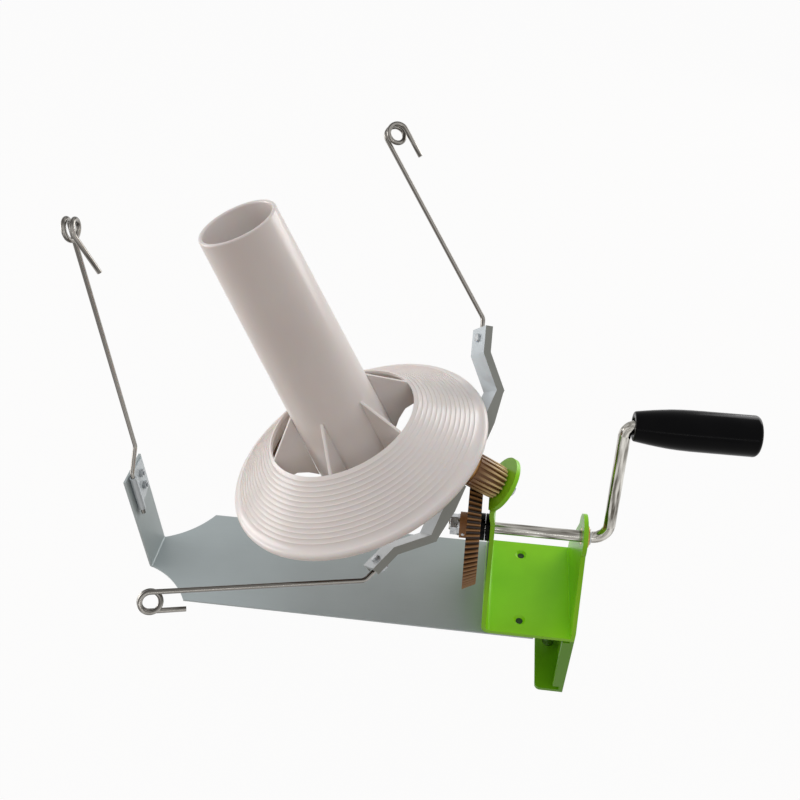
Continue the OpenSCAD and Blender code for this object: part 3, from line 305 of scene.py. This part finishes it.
def dress(node, finish, round_edge=0.0003, crease=30):
    """A copy of a CAD node with merged faces, rounded edges and smooth curves, in its place."""
    weld, flat = 2e-6, math.radians(0.5)
    source = frame["nodes"][node]
    mesh = source.data.copy()
    work = bmesh.new()
    work.from_mesh(mesh)
    bmesh.ops.remove_doubles(work, verts=work.verts, dist=weld)
    bmesh.ops.dissolve_degenerate(work, dist=weld, edges=work.edges)
    bmesh.ops.dissolve_limit(work, angle_limit=flat, verts=work.verts, edges=work.edges)
    work.to_mesh(mesh)
    work.free()
    mesh.materials.clear()
    mesh.materials.append(finish.material)
    mesh.shade_smooth()
    piece = bpy.data.objects.new(node + "_dressed", mesh)
    bpy.context.scene.collection.objects.link(piece)
    if round_edge:
        bevel = piece.modifiers.new("rounded_edges", "BEVEL")
        bevel.width = round_edge
        bevel.segments = 2
        bevel.limit_method = "ANGLE"
        bevel.angle_limit = math.radians(crease)
        bevel.harden_normals = True
        bevel.use_clamp_overlap = True
    mesh.set_sharp_from_angle(angle=math.radians(crease))
    flats = piece.modifiers.new("flat_faces", "WEIGHTED_NORMAL")
    flats.weight = 100
    flats.keep_sharp = True
    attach(piece, source["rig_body"])
    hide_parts(node)
    return piece


zinc = Finish("zinc_plate", 0.45, metallic=0.3)
zinc_clouds = zinc.mask(mottle, Scale=22, Detail=5, Contrast=0)
zinc_colour = zinc.colour(zinc_clouds, linear(162, 171, 172), linear(176, 186, 187))
zinc_rolling = zinc.mask(marks, Along_X=0.02, Along_Y=1, Along_Z=1, Scale=2200)
zinc_colour = zinc.tint(zinc_colour, zinc_rolling, linear(196, 205, 207), 0.2)
zinc.tint(zinc_colour, zinc.mask(flecks, Scale=420, Share=0.33), linear(228, 234, 236), 0.5)
zinc.roughness(zinc_clouds, 0.4, 0.5)
zinc.relief(zinc_rolling, 0.00002)
dress("base_plate", zinc)

# Frame bracket, clamp leg and its nut: steel sheet folded into a U, welded to a channel leg, all sprayed
# green. The paint is glossy with a slight orange-peel skin; the leg and its nut take a darker copy of the
# green, as painted shade.


def enamel(name, dark, light):
    """Sprayed paint that drifts between two tones, with a few pale flecks."""
    paint = Finish(name, 0.3)
    paint.shader.inputs["Specular IOR Level"].default_value = 0.25
    drift = paint.colour(paint.mask(mottle, Scale=25, Detail=3, Contrast=1), dark, light)
    paint.tint(drift, paint.mask(flecks, Scale=650, Share=0.31), linear(206, 222, 190), 0.7)
    paint.relief(paint.mask(mottle, Scale=700, Detail=2, Contrast=0), 0.00005, 0.25)
    return paint


dress("frame_bracket", enamel("green_enamel", linear(138, 210, 24), linear(152, 224, 32)), 0.0005)
# Painted shade: the same green, darker, for the leg under the floor
leg_shaded_enamel = enamel("shaded_green_enamel", linear(96, 158, 16), linear(108, 172, 22))
for node in ("clamp_leg", "clamp_nut"):
    dress(node, leg_shaded_enamel, 0.0005)

# Small hardware: screws, nuts, washers and the axle, turned or pressed steel with bright zinc.
# The plating is uneven, so both its tone and its shine drift a little.
bright = Finish("bright_zinc", 0.28, metallic=1)
bright_clouds = bright.mask(mottle, Scale=300, Detail=4, Contrast=1)
bright.colour(bright_clouds, linear(150, 153, 156), linear(206, 208, 209))
bright.roughness(bright_clouds, 0.22, 0.36)
for node in ("flyer_axle", "axle_washer", "axle_nut", "bracket_nut", "thrust_washer",
             "bobbin_spindle", "spindle_washer", "spindle_clip", "feed_guide_screws", "feed_guide_nuts",
             "gear_pin", "gear_washer", "gear_nut", "crank_collar", "grip_clip", "flyer_hub_screws",
             "flyer_hub_nuts", "arm_screws", "arm_nuts", "clamp_screw", "clamp_bar"):
    dress(node, bright, 0.0002)

# Plate screws: countersunk steel with black oxide. Only their dull tips show, in the floor's dimples: green
# with paint, and darker than the frame's green as painted shade in the hollows.
tip_paint_and_shade = Finish("tip_green_and_shade", 0.45, metallic=0.3)
tip_paint_clouds = tip_paint_and_shade.mask(mottle, Scale=500, Detail=4, Contrast=1)
# Dark green: paint, darkened as painted shade of the dimples
tip_paint_and_shade.colour(tip_paint_clouds, linear(20, 44, 10), linear(44, 74, 26))
tip_paint_and_shade.roughness(tip_paint_clouds, 0.4, 0.6)
dress("plate_screws", tip_paint_and_shade, 0.0002)

# Bushes: a brass one on the crank side, a black plastic one and its spacer on the gear side,
# and sintered bronze ones in the flyer and the bobbin, all pressed in.
brass = Finish("turned_brass", 0.25, metallic=1)
brass_turning = brass.mask(marks, Along_X=1, Along_Y=0.1, Along_Z=0.1, Scale=1500)
brass.colour(brass_turning, linear(166, 130, 70), linear(206, 172, 108))
dress("crank_bush_outer", brass, 0.0003)
bronze = Finish("sintered_bronze", 0.5, metallic=0.9)
bronze.colour(bronze.mask(mottle, Scale=900, Detail=5, Contrast=1), linear(140, 104, 66), linear(176, 138, 92))
for node in ("flyer_sleeve", "bobbin_bush_lower", "bobbin_bush_upper"):
    dress(node, bronze, 0.0002)
black = Finish("black_plastic", 0.3)
black.shader.inputs["Specular IOR Level"].default_value = 0.06
black_clouds = black.mask(mottle, Scale=90, Detail=5, Contrast=1)
black_colour = black.colour(black_clouds, linear(4, 4, 6), linear(8, 8, 10))
black.tint(black_colour, black.mask(flecks, Scale=900, Share=0.32), linear(70, 70, 72), 0.5)
black.roughness(black_clouds, 0.14, 0.22)
for node in ("crank_bush_inner", "gear_spacer", "clamp_pad"):
    dress(node, black, 0.0004)

# Crank: one bent bar with polished nickel plate. Its colour carries painted reflections: bright and dark bands
# along
# the bar, set by a stored direction: which way each point of the bar faces.
# Painted reflection bands: a noise on the stored facing direction, so a bar is lighter or darker by which way
# it faces
reflection_bands, streaks_in, streaks_out = shade_group(
    "painted_reflection_streaks", ["Mask"], [("Scale", 2.5), ("Sharpness", 0.3)])
streaks_facing = reflection_bands.nodes.new("ShaderNodeAttribute")
streaks_facing.attribute_name = "facing"
streaks_noise = reflection_bands.nodes.new("ShaderNodeTexNoise")
streaks_noise.inputs["Detail"].default_value = 2
streaks_high = reflection_bands.nodes.new("ShaderNodeMath")
streaks_range = reflection_bands.nodes.new("ShaderNodeMapRange")
streaks_high.operation = "SUBTRACT"
streaks_high.inputs[0].default_value = 1
reflection_bands.links.new(streaks_facing.outputs["Vector"], streaks_noise.inputs["Vector"])
reflection_bands.links.new(streaks_in.outputs["Scale"], streaks_noise.inputs["Scale"])
reflection_bands.links.new(streaks_in.outputs["Sharpness"], streaks_high.inputs[1])
reflection_bands.links.new(streaks_noise.outputs[0], streaks_range.inputs["Value"])
reflection_bands.links.new(streaks_in.outputs["Sharpness"], streaks_range.inputs["From Min"])
reflection_bands.links.new(streaks_high.outputs[0], streaks_range.inputs["From Max"])
reflection_bands.links.new(streaks_range.outputs[0], streaks_out.inputs["Mask"])


def keep_facing(mesh):
    """Stores each point's outward direction on the mesh, for painted reflection bands that run along a bar."""
    facing = mesh.attributes.new("facing", "FLOAT_VECTOR", "POINT")
    facing.data.foreach_set("vector", [c for point in mesh.vertices for c in point.normal])


nickel = Finish("nickel_plate", 0.16, metallic=1)
nickel_clouds = nickel.mask(mottle, Scale=160, Detail=4, Contrast=1)
# Painted reflections: bright and dark bands along the bar, by which way it faces
nickel_reflections = nickel.mask(reflection_bands, Scale=2.6, Sharpness=0.36)
nickel_colour = nickel.colour(nickel_reflections, linear(82, 78, 70), linear(222, 219, 212))
nickel.tint(nickel_colour, nickel_clouds, linear(190, 185, 175), 0.2)
nickel.roughness(nickel_clouds, 0.1, 0.2)
keep_facing(dress("crank_rod", nickel, 0.0003).data)

# Grip: gloss black plastic, slim at the crank and full towards its rounded end. It turns freely on the pin
# of the crank, and a plug closes its end. Sizes are in millimetres, along the pin from the grip's mouth.
MM = 0.001


def turned(name, profile, at, steps, finish, crease=40):
    """A closed profile of (radius, height) points swung round the z axis of a frame in millimetres."""
    points, faces, count = [], [], len(profile)
    for k in range(steps):
        c, s = math.cos(2 * math.pi * k / steps), math.sin(2 * math.pi * k / steps)
        points += [at @ Vector((r * c, r * s, h)) * MM for r, h in profile]
    for k in range(steps):
        here, there = k * count, (k + 1) % steps * count
        for i in range(count):
            j = (i + 1) % count
            faces.append((here + i, there + i, there + j, here + j))
    mesh = bpy.data.meshes.new(name)
    mesh.from_pydata(points, [], faces)
    work = bmesh.new()
    work.from_mesh(mesh)
    bmesh.ops.remove_doubles(work, verts=work.verts, dist=1e-6)
    bmesh.ops.recalc_face_normals(work, faces=work.faces)
    work.to_mesh(mesh)
    work.free()
    mesh.materials.append(finish.material)
    mesh.shade_smooth()
    mesh.set_sharp_from_angle(angle=math.radians(crease))
    piece = bpy.data.objects.new(name, mesh)
    bpy.context.scene.collection.objects.link(piece)
    return piece


def arc(r, h, radius, start, end, steps):
    """Profile points on a rounding about (r, h), from one angle to another in degrees."""
    angles = [math.radians(start + (end - start) * i / steps) for i in range(steps + 1)]
    return [(r + radius * math.cos(a), h + radius * math.sin(a)) for a in angles]


grip_x, crank_throw, crank_lean, shaft_height = 81.5, 86.5, math.radians(16), 66.5
pin_y = crank_throw * math.sin(crank_lean)
pin_height = shaft_height + crank_throw * math.cos(crank_lean)
grip_at = Matrix.Translation((grip_x, pin_y, pin_height)) @ Matrix.Rotation(math.pi / 2, 4, "Y")
grip_length, grip_belly, grip_round = 77, 13.25, 3
grip_bore, grip_plug = 4.05, 66
grip_mouth = [(grip_bore, grip_plug), (grip_bore, 4.5), (6.05, 0.2), (6.4, 0)] + arc(8.55, 1.2, 1.2, -90, -8, 6)
grip_swell = [(10.55, 6), (11.3, 11), (12, 16.5), (12.65, 22.5), (13.05, 29), (13.22, 35),
              (grip_belly, 42), (grip_belly, 60)]
grip_end = (arc(grip_belly - grip_round, grip_length - grip_round, grip_round, 0, 70, 7)
            + [(8, grip_length - 0.05), (4, grip_length), (0, grip_length), (0, grip_plug)])
grip = turned("grip_handle", grip_mouth + grip_swell + grip_end, grip_at, 72, black)
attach(grip, "grip")
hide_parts("grip_sleeve", "grip_cap")

# Gears: moulded tan nylon with straight bevel teeth, all of one pair running towards one apex.
# The colour runs from dark roots, painted shade in the tooth gaps, to pale tips. Apexes are in millimetres.
tooth_depth, tooth_in, tooth_out = shade_group("tooth_depth", ["Mask"], [
    ("Apex X", 0), ("Apex Z", 0), ("Axis X", 1), ("Axis Z", 0), ("Root", 0), ("Tip", 1)])
tooth_at = tooth_depth.nodes.new("ShaderNodeTexCoord")
tooth_apex = tooth_depth.nodes.new("ShaderNodeCombineXYZ")
tooth_axis = tooth_depth.nodes.new("ShaderNodeCombineXYZ")
tooth_arm = tooth_depth.nodes.new("ShaderNodeVectorMath")
tooth_arm.operation = "SUBTRACT"
tooth_far = tooth_depth.nodes.new("ShaderNodeVectorMath")
tooth_far.operation = "DOT_PRODUCT"
tooth_off = tooth_depth.nodes.new("ShaderNodeVectorMath")
tooth_off.operation = "CROSS_PRODUCT"
tooth_wide = tooth_depth.nodes.new("ShaderNodeVectorMath")
tooth_wide.operation = "LENGTH"
tooth_slope = tooth_depth.nodes.new("ShaderNodeMath")
tooth_slope.operation = "DIVIDE"
tooth_share = tooth_depth.nodes.new("ShaderNodeMapRange")
tooth_share.clamp = False
tooth_side = tooth_depth.nodes.new("ShaderNodeMath")
tooth_side.operation = "ABSOLUTE"
tooth_soft = tooth_depth.nodes.new("ShaderNodeMapRange")
tooth_soft.interpolation_type = "SMOOTHSTEP"
tooth_soft.inputs["From Min"].default_value = 0.1
for name, node in (("Apex", tooth_apex), ("Axis", tooth_axis)):
    for axis in "XZ":
        tooth_depth.links.new(tooth_in.outputs[name + " " + axis], node.inputs[axis])
tooth_depth.links.new(tooth_at.outputs["Object"], tooth_arm.inputs[0])
tooth_depth.links.new(tooth_apex.outputs[0], tooth_arm.inputs[1])
for node in (tooth_far, tooth_off):
    tooth_depth.links.new(tooth_arm.outputs[0], node.inputs[0])
    tooth_depth.links.new(tooth_axis.outputs[0], node.inputs[1])
tooth_depth.links.new(tooth_off.outputs["Vector"], tooth_wide.inputs[0])
tooth_depth.links.new(tooth_wide.outputs["Value"], tooth_slope.inputs[0])
tooth_depth.links.new(tooth_far.outputs["Value"], tooth_slope.inputs[1])
tooth_depth.links.new(tooth_slope.outputs[0], tooth_share.inputs["Value"])
tooth_depth.links.new(tooth_in.outputs["Root"], tooth_share.inputs["From Min"])
tooth_depth.links.new(tooth_in.outputs["Tip"], tooth_share.inputs["From Max"])
tooth_depth.links.new(tooth_share.outputs[0], tooth_side.inputs[0])
tooth_depth.links.new(tooth_side.outputs[0], tooth_soft.inputs["Value"])
tooth_depth.links.new(tooth_soft.outputs[0], tooth_out.inputs["Mask"])


def gear(node, apex, lean, cone, teeth, addendum, dedendum, root, tip):
    """A toothed gear: its axis leans up from -X, and its pitch cone opens from the apex, both in degrees."""
    nylon = Finish(node + "_nylon", 0.45)
    step = 2 * math.sin(math.radians(cone)) / teeth
    depth = nylon.mask(
        tooth_depth, Apex_X=apex[0] * MM, Apex_Z=apex[1] * MM,
        Axis_X=-math.cos(math.radians(lean)), Axis_Z=math.sin(math.radians(lean)),
        Root=math.tan(math.radians(cone) + math.atan(dedendum * step)),
        Tip=math.tan(math.radians(cone) + math.atan(addendum * step)))
    clouds = nylon.mask(mottle, Scale=120, Detail=6, Contrast=1)
    tooth_shade = nylon.colour(depth, root, tip)
    nylon.tint(tooth_shade, clouds, linear(118, 84, 48), 0.18)
    nylon.roughness(clouds, 0.36, 0.52)
    nylon.shader.inputs["Subsurface Weight"].default_value = 0.05
    nylon.shader.inputs["Subsurface Radius"].default_value = (0.002, 0.001, 0.0005)
    dress(node, nylon, 0.00012)


crank_apex, bobbin_apex = (71.3968, shaft_height), (-112.6296, 181.4925)
outer_teeth, inner_teeth = (1, -1.25), (-0.95, 1.25)
# The drive gear's darker colours are painted shade, and the pinion's pale golden tips are painted highlight
gear("drive_gear", crank_apex, 0, 25.206, 72, *outer_teeth, linear(40, 23, 11), linear(164, 120, 74))
gear("flyer_pinion", crank_apex, 32, 6.794, 20, *outer_teeth, linear(126, 86, 46), linear(255, 224, 168))
gear("flyer_gear", bobbin_apex, 212, 11.742, 24, *outer_teeth, linear(84, 56, 28), linear(214, 176, 120))
gear("bobbin_gear", bobbin_apex, 250, 49.742, 90, *inner_teeth, linear(84, 56, 28), linear(214, 176, 120))

# Flyer bracket, clips and spindle bracket: zinc-plated strip, folded along its edges and bent.
# The folded edges of the flyer bracket are tinted a darker, warmer grey by which way their faces point: painted
# shade.
flyer_tilt, flyer_rest = math.radians(32), math.radians(-127.5)
flyer_lean = Matrix.Rotation(flyer_tilt - math.pi / 2, 4, "Y")
strip_across = (flyer_lean @ Matrix.Rotation(flyer_rest, 4, "Z")).to_3x3() @ Vector((0, 1, 0))
strip = Finish("strip_zinc", 0.25, metallic=0.15)
strip_clouds = strip.mask(mottle, Scale=70, Detail=6, Contrast=0)
strip_colour = strip.colour(strip_clouds, linear(188, 198, 203), linear(212, 221, 226))
strip_specks = strip.mask(flecks, Scale=300, Share=0.34)
strip_colour = strip.tint(strip_colour, strip_specks, linear(232, 238, 241), 0.5)
strip_edge_shade = strip.nodes.new("ShaderNodeAttribute")
strip_edge_shade.attribute_name = "folded_edge_shade"
# Painted shade: faces across the strip's width take a darker grey
strip.tint(strip_colour, strip_edge_shade.outputs["Fac"], linear(132, 133, 123), 0.85)
strip.roughness(strip_clouds, 0.14, 0.26)
for node in ("spindle_bracket", "feed_guide_clip", "arm_clips"):
    dress(node, strip, 0.0003)
bracket = dress("flyer_bracket", strip, 0.0003).data
edge_on = 0.7
fold_shade = bracket.attributes.new("folded_edge_shade", "FLOAT", "FACE")
fold_shade.data.foreach_set(
    "value", [float(abs(face.normal.dot(strip_across)) > edge_on) for face in bracket.polygons])

# Guide wires: three lengths of 3 mm spring wire, darker than the plate, each bent into a pigtail eye.
# Two are clamped in the flyer's arms and one in the clip on the tab. Sizes are in millimetres.
spring = Finish("spring_wire", 0.2, metallic=1)
spring_clouds = spring.mask(mottle, Scale=240, Detail=5, Contrast=1)
# Painted reflections: bright and dark bands along the wire, by which way it faces
spring_reflections = spring.mask(reflection_bands, Scale=1.6, Sharpness=0.36)
spring_colour = spring.colour(spring_reflections, linear(70, 67, 63), linear(172, 168, 162))
spring.tint(spring_colour, spring_clouds, linear(118, 114, 108), 0.25)
spring.roughness(spring_clouds, 0.14, 0.26)
wire_radius, wire_sides = 1.5, 20
eye_radius, eye_pitch, eye_turns, eye_steps = 5.8, 5, 1.5, 40
wire_tree = bpy.data.node_groups.new("bent_wire", "GeometryNodeTree")
wire_tree.interface.new_socket("Path", in_out="INPUT", socket_type="NodeSocketGeometry")
wire_tree.interface.new_socket("Radius", in_out="INPUT", socket_type="NodeSocketFloat")
wire_tree.interface.new_socket("Sides", in_out="INPUT", socket_type="NodeSocketInt")
wire_tree.interface.new_socket("Plating", in_out="INPUT", socket_type="NodeSocketMaterial")
wire_tree.interface.new_socket("Wire", in_out="OUTPUT", socket_type="NodeSocketGeometry")
wire_in = wire_tree.nodes.new("NodeGroupInput")
wire_out = wire_tree.nodes.new("NodeGroupOutput")
wire_line = wire_tree.nodes.new("GeometryNodeMeshToCurve")
wire_round = wire_tree.nodes.new("GeometryNodeCurvePrimitiveCircle")
wire_skin = wire_tree.nodes.new("GeometryNodeCurveToMesh")
wire_skin.inputs["Fill Caps"].default_value = True
wire_real = wire_tree.nodes.new("GeometryNodeRealizeInstances")
wire_coat = wire_tree.nodes.new("GeometryNodeSetMaterial")
wire_tree.links.new(wire_in.outputs["Path"], wire_line.inputs["Mesh"])
wire_tree.links.new(wire_in.outputs["Sides"], wire_round.inputs["Resolution"])
wire_tree.links.new(wire_in.outputs["Radius"], wire_round.inputs["Radius"])
wire_tree.links.new(wire_line.outputs["Curve"], wire_skin.inputs["Curve"])
wire_tree.links.new(wire_round.outputs["Curve"], wire_skin.inputs["Profile Curve"])
wire_tree.links.new(wire_skin.outputs["Mesh"], wire_real.inputs["Geometry"])
wire_tree.links.new(wire_real.outputs["Geometry"], wire_coat.inputs["Geometry"])
wire_tree.links.new(wire_in.outputs["Plating"], wire_coat.inputs["Material"])
wire_tree.links.new(wire_coat.outputs["Geometry"], wire_out.inputs["Wire"])


def grown(name, mesh, tree, values):
    """The plain mesh that a node tree makes from a starting mesh."""
    seed = bpy.data.objects.new(name + "_seed", mesh)
    bpy.context.scene.collection.objects.link(seed)
    growth = seed.modifiers.new(tree.name, "NODES")
    growth.node_group = tree
    for item in tree.interface.items_tree:
        if item.in_out == "INPUT" and item.name in values:
            growth[item.identifier] = values[item.name]
    result = bpy.data.meshes.new_from_object(seed.evaluated_get(bpy.context.evaluated_depsgraph_get()))
    bpy.data.objects.remove(seed)
    result.name = name
    return result


def bent_wire(name, points, node, body):
    """A round wire along a row of points, in place of a CAD node."""
    line = bpy.data.meshes.new(name + "_line")
    line.from_pydata([p * MM for p in points], [(i, i + 1) for i in range(len(points) - 1)], [])
    mesh = grown(name, line, wire_tree, {
        "Radius": wire_radius * MM, "Sides": wire_sides, "Plating": spring.material})
    mesh.shade_smooth()
    mesh.set_sharp_from_angle(angle=math.radians(50))
    keep_facing(mesh)
    piece = bpy.data.objects.new(name, mesh)
    bpy.context.scene.collection.objects.link(piece)
    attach(piece, body)
    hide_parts(node)


def pigtail(start, along, side, advance, tail):
    """The points of an eye that turns sideways from the wire's end, steps aside and runs out in a tail."""
    middle = start + eye_radius * side
    loop = []
    for i in range(1, int(eye_turns * eye_steps) + 1):
        w = 2 * math.pi * i / eye_steps
        loop.append(middle - eye_radius * math.cos(w) * side + eye_radius * math.sin(w) * along
                    + eye_pitch * i / eye_steps * advance)
    return loop + [loop[-1] + tail]


# Places on the flyer, in its own frame: x outward from its axis, z forward along it from the strip's face
strip_face = 116.5
flyer_at = (Matrix.Translation((crank_apex[0], 0, crank_apex[1])) @ flyer_lean
            @ Matrix.Translation((0, 0, strip_face)))
bend_two, strip_end = Vector((68.6, 0, 18.9)), Vector((85.6, 0, 25.3))
arm_along = (strip_end - bend_two).normalized()
arm_outward = Vector((arm_along.z, 0, -arm_along.x))
arm_slope = math.atan2(arm_along.z, arm_along.x)
knee_radius, knee_steps, root_length, tail_length = 6, 8, 22.5, 20
root_back, root_lift, root_aside = 15, 3.5, 3.2
wire_root = strip_end - root_back * arm_along + root_lift * arm_outward + Vector((0, root_aside, 0))
knee = wire_root + root_length * arm_along
for name, turn, rise, length in (
        ("lower", 0, math.radians(63), 125), ("upper", math.pi, math.radians(57.5), 131.5)):
    wire_along = Vector((math.cos(rise), 0, math.sin(rise)))
    wire_side = Vector((wire_along.z, 0, -wire_along.x))
    knee_start = knee - knee_radius * math.tan((rise - arm_slope) / 2) * arm_along
    knee_middle = knee_start - knee_radius * arm_outward
    arm_path = [wire_root]
    for i in range(knee_steps + 1):
        w = arm_slope + (rise - arm_slope) * i / knee_steps
        arm_path.append(knee_middle + knee_radius * Vector((math.sin(w), 0, -math.cos(w))))
    wire_end = knee + length * wire_along
    arm_path.append(wire_end)
    arm_path += pigtail(wire_end, wire_along, wire_side, Vector((0, -1, 0)), -tail_length * wire_along)
    at = flyer_at @ Matrix.Rotation(flyer_rest + turn, 4, "Z")
    bent_wire("flyer_wire_" + name, [at @ p for p in arm_path], "arm_wire_" + name, "flyer")

# The feed guide stands in the clip's barrel, steps back above it and rises straight to its eye
guide_x, guide_y, guide_top = -251.5, 6.5, 279.5
barrel_y, barrel_low, barrel_top = -7.5, 55, 93
guide_tail = Vector((9, 0, -23))
step_top = barrel_top + guide_y - barrel_y
guide_path = [Vector((guide_x, y, z)) for y, z in (
    (barrel_y, barrel_low), (barrel_y, barrel_top),
    (barrel_y + 0.3, barrel_top + 1), (barrel_y + 1, barrel_top + 2),
    (guide_y - 1, step_top), (guide_y - 0.3, step_top + 1),
    (guide_y, step_top + 2), (guide_y, guide_top))]
guide_path += pigtail(guide_path[-1], Vector((0, 0, 1)), Vector((0, -1, 0)), Vector((1, 0, 0)), guide_tail)
bent_wire("feed_wire", guide_path, "feed_guide_wire", "frame")

# Bobbin: glossy white moulded plastic. A tapered tube with a rounded lip stands in a cone-shaped flange
# with raised rings; six thin ribs tie the two. Profiles are radius and height from the flange rim, in mm.
white = Finish("white_plastic", 0.28, coat=0.1, coat_roughness=0.1)
white_drift = white.mask(mottle, Scale=18, Detail=3, Contrast=1)
white.colour(white_drift, linear(232, 225, 221), linear(238, 232, 228))
white.shader.inputs["Subsurface Weight"].default_value = 0.4
white.shader.inputs["Subsurface Radius"].default_value = (0.012, 0.007, 0.0045)
bobbin_at = Matrix.Translation((-93.1345, 0, 127.93)) @ Matrix.Rotation(math.radians(-20), 4, "Y")
tube_low, tube_high, tube_bottom, tube_top, tube_wall = 28.4, 22.8, -2, 174, 2.4
tube_inside, lip, edge = tube_low - tube_wall, tube_wall / 2, 0.6
boss_r, boss_top, boss_bottom, bore_r, web_top = 10, 46, -8, 6.55, 1.5
tube_outside = [(tube_low, tube_bottom + edge)] + arc(tube_high - lip, tube_top - lip, lip, 0, 180, 12)
tube_web = [(tube_inside + 0.1, 4.5), (tube_inside - 0.8, 2.4), (tube_inside - 3, web_top),
            (boss_r + 0.8, web_top), (boss_r, web_top + 1)]
tube_boss = [(boss_r, boss_top - edge), (boss_r - edge, boss_top), (bore_r, boss_top), (bore_r, boss_bottom),
             (boss_r - edge, boss_bottom), (boss_r, boss_bottom + edge), (boss_r, tube_bottom),
             (tube_low - edge, tube_bottom)]
tube = turned("bobbin_core", tube_outside + tube_web + tube_boss, bobbin_at, 128, white)
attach(tube, "bobbin")
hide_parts("bobbin_tube")

# The flange: its opening has a rounded edge, each raised ring is a low round bead, and the rim rolls over
rim_r, rim_bead, opening_r, opening_h, skin = 85, 3, 48.5, 29, 2.946
ring_count, ring_rise, ring_margin = 13, 0.42, 2
ring_bead = ((0.2, 0), (0.23, 0.55), (0.27, 0.9), (0.31, 1), (0.35, 0.9), (0.39, 0.55), (0.42, 0))
gear_seat_in, gear_seat_out, gear_seat_h = 57, 65.5, 12
cone_fall = (opening_h - rim_bead) / (rim_r - opening_r)


def cone_height(r):
    return rim_bead + (rim_r - r) * cone_fall


def cone_underside(r):
    return r, cone_height(r) - skin


ring_pitch = (rim_r - opening_r - 2 * ring_margin) / ring_count
flange_profile = [(opening_r, cone_height(opening_r) - skin + edge), (opening_r, cone_height(opening_r) - 0.8),
                  (opening_r + 0.3, cone_height(opening_r) - 0.3), (opening_r + 1, cone_height(opening_r + 1))]
for k in range(ring_count):
    ring_start = opening_r + ring_margin + k * ring_pitch
    for share, rise in ring_bead:
        r = ring_start + share * ring_pitch
        flange_profile.append((r, cone_height(r) + rise * ring_rise))
flange_profile += arc(rim_r, 0, rim_bead, 90, -180, 20)
flange_profile += [cone_underside(rim_r - rim_bead), cone_underside(gear_seat_out),
                   (gear_seat_out, gear_seat_h), (gear_seat_in, gear_seat_h),
                   cone_underside(gear_seat_in), cone_underside(opening_r + edge)]
flange = turned("bobbin_cone", flange_profile, bobbin_at, 160, white, 50)
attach(flange, "bobbin")
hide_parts("bobbin_flange")

# The ribs: one thin plate, repeated round the tube
rib_count, rib_turn, rib_half, rib_reach = 6, math.radians(33), 1, opening_r + edge
rib_outline = [(26.85, 50), (rib_reach, opening_h - 0.3), (rib_reach, 11.6), (40.5, 11.4), (34, 7),
               (28.6, 1), (27.7, 24)]
rib_corners = len(rib_outline)
rib_points = [(r * MM, y * MM, h * MM) for y in (-rib_half, rib_half) for r, h in rib_outline]
rib_faces = [tuple(range(rib_corners - 1, -1, -1)), tuple(range(rib_corners, 2 * rib_corners))]
for i in range(rib_corners):
    after = (i + 1) % rib_corners
    rib_faces.append((i, after, after + rib_corners, i + rib_corners))
rib_mesh = bpy.data.meshes.new("rib")
rib_mesh.from_pydata(rib_points, [], rib_faces)
rib_tree = bpy.data.node_groups.new("rib_ring", "GeometryNodeTree")
rib_tree.interface.new_socket("Rib", in_out="INPUT", socket_type="NodeSocketGeometry")
rib_tree.interface.new_socket("Count", in_out="INPUT", socket_type="NodeSocketInt")
rib_tree.interface.new_socket("Turn", in_out="INPUT", socket_type="NodeSocketFloat")
rib_tree.interface.new_socket("Plastic", in_out="INPUT", socket_type="NodeSocketMaterial")
rib_tree.interface.new_socket("Ribs", in_out="OUTPUT", socket_type="NodeSocketGeometry")
rib_in = rib_tree.nodes.new("NodeGroupInput")
rib_out = rib_tree.nodes.new("NodeGroupOutput")
rib_places = rib_tree.nodes.new("GeometryNodeMeshLine")
rib_places.inputs["Offset"].default_value = (0, 0, 0)
rib_number = rib_tree.nodes.new("GeometryNodeInputIndex")
rib_step = rib_tree.nodes.new("ShaderNodeMath")
rib_step.operation = "DIVIDE"
rib_step.inputs[0].default_value = 2 * math.pi
rib_angle = rib_tree.nodes.new("ShaderNodeMath")
rib_angle.operation = "MULTIPLY_ADD"
rib_spin = rib_tree.nodes.new("ShaderNodeCombineXYZ")
rib_copies = rib_tree.nodes.new("GeometryNodeInstanceOnPoints")
rib_real = rib_tree.nodes.new("GeometryNodeRealizeInstances")
rib_coat = rib_tree.nodes.new("GeometryNodeSetMaterial")
rib_tree.links.new(rib_in.outputs["Count"], rib_places.inputs["Count"])
rib_tree.links.new(rib_in.outputs["Count"], rib_step.inputs[1])
rib_tree.links.new(rib_number.outputs[0], rib_angle.inputs[0])
rib_tree.links.new(rib_step.outputs[0], rib_angle.inputs[1])
rib_tree.links.new(rib_in.outputs["Turn"], rib_angle.inputs[2])
rib_tree.links.new(rib_angle.outputs[0], rib_spin.inputs["Z"])
rib_tree.links.new(rib_places.outputs[0], rib_copies.inputs["Points"])
rib_tree.links.new(rib_in.outputs["Rib"], rib_copies.inputs["Instance"])
rib_tree.links.new(rib_spin.outputs[0], rib_copies.inputs["Rotation"])
rib_tree.links.new(rib_copies.outputs[0], rib_real.inputs["Geometry"])
rib_tree.links.new(rib_real.outputs[0], rib_coat.inputs["Geometry"])
rib_tree.links.new(rib_in.outputs["Plastic"], rib_coat.inputs["Material"])
rib_tree.links.new(rib_coat.outputs[0], rib_out.inputs["Ribs"])
ribs_mesh = grown("bobbin_ribs", rib_mesh, rib_tree, {
    "Count": rib_count, "Turn": rib_turn, "Plastic": white.material})
ribs_mesh.transform(Matrix.Scale(MM, 4) @ bobbin_at @ Matrix.Scale(1 / MM, 4))
ribs = bpy.data.objects.new("bobbin_ribs", ribs_mesh)
bpy.context.scene.collection.objects.link(ribs)
rib_edges = ribs.modifiers.new("rounded_edges", "BEVEL")
rib_edges.width = 0.0004
rib_edges.segments = 2
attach(ribs, "bobbin")
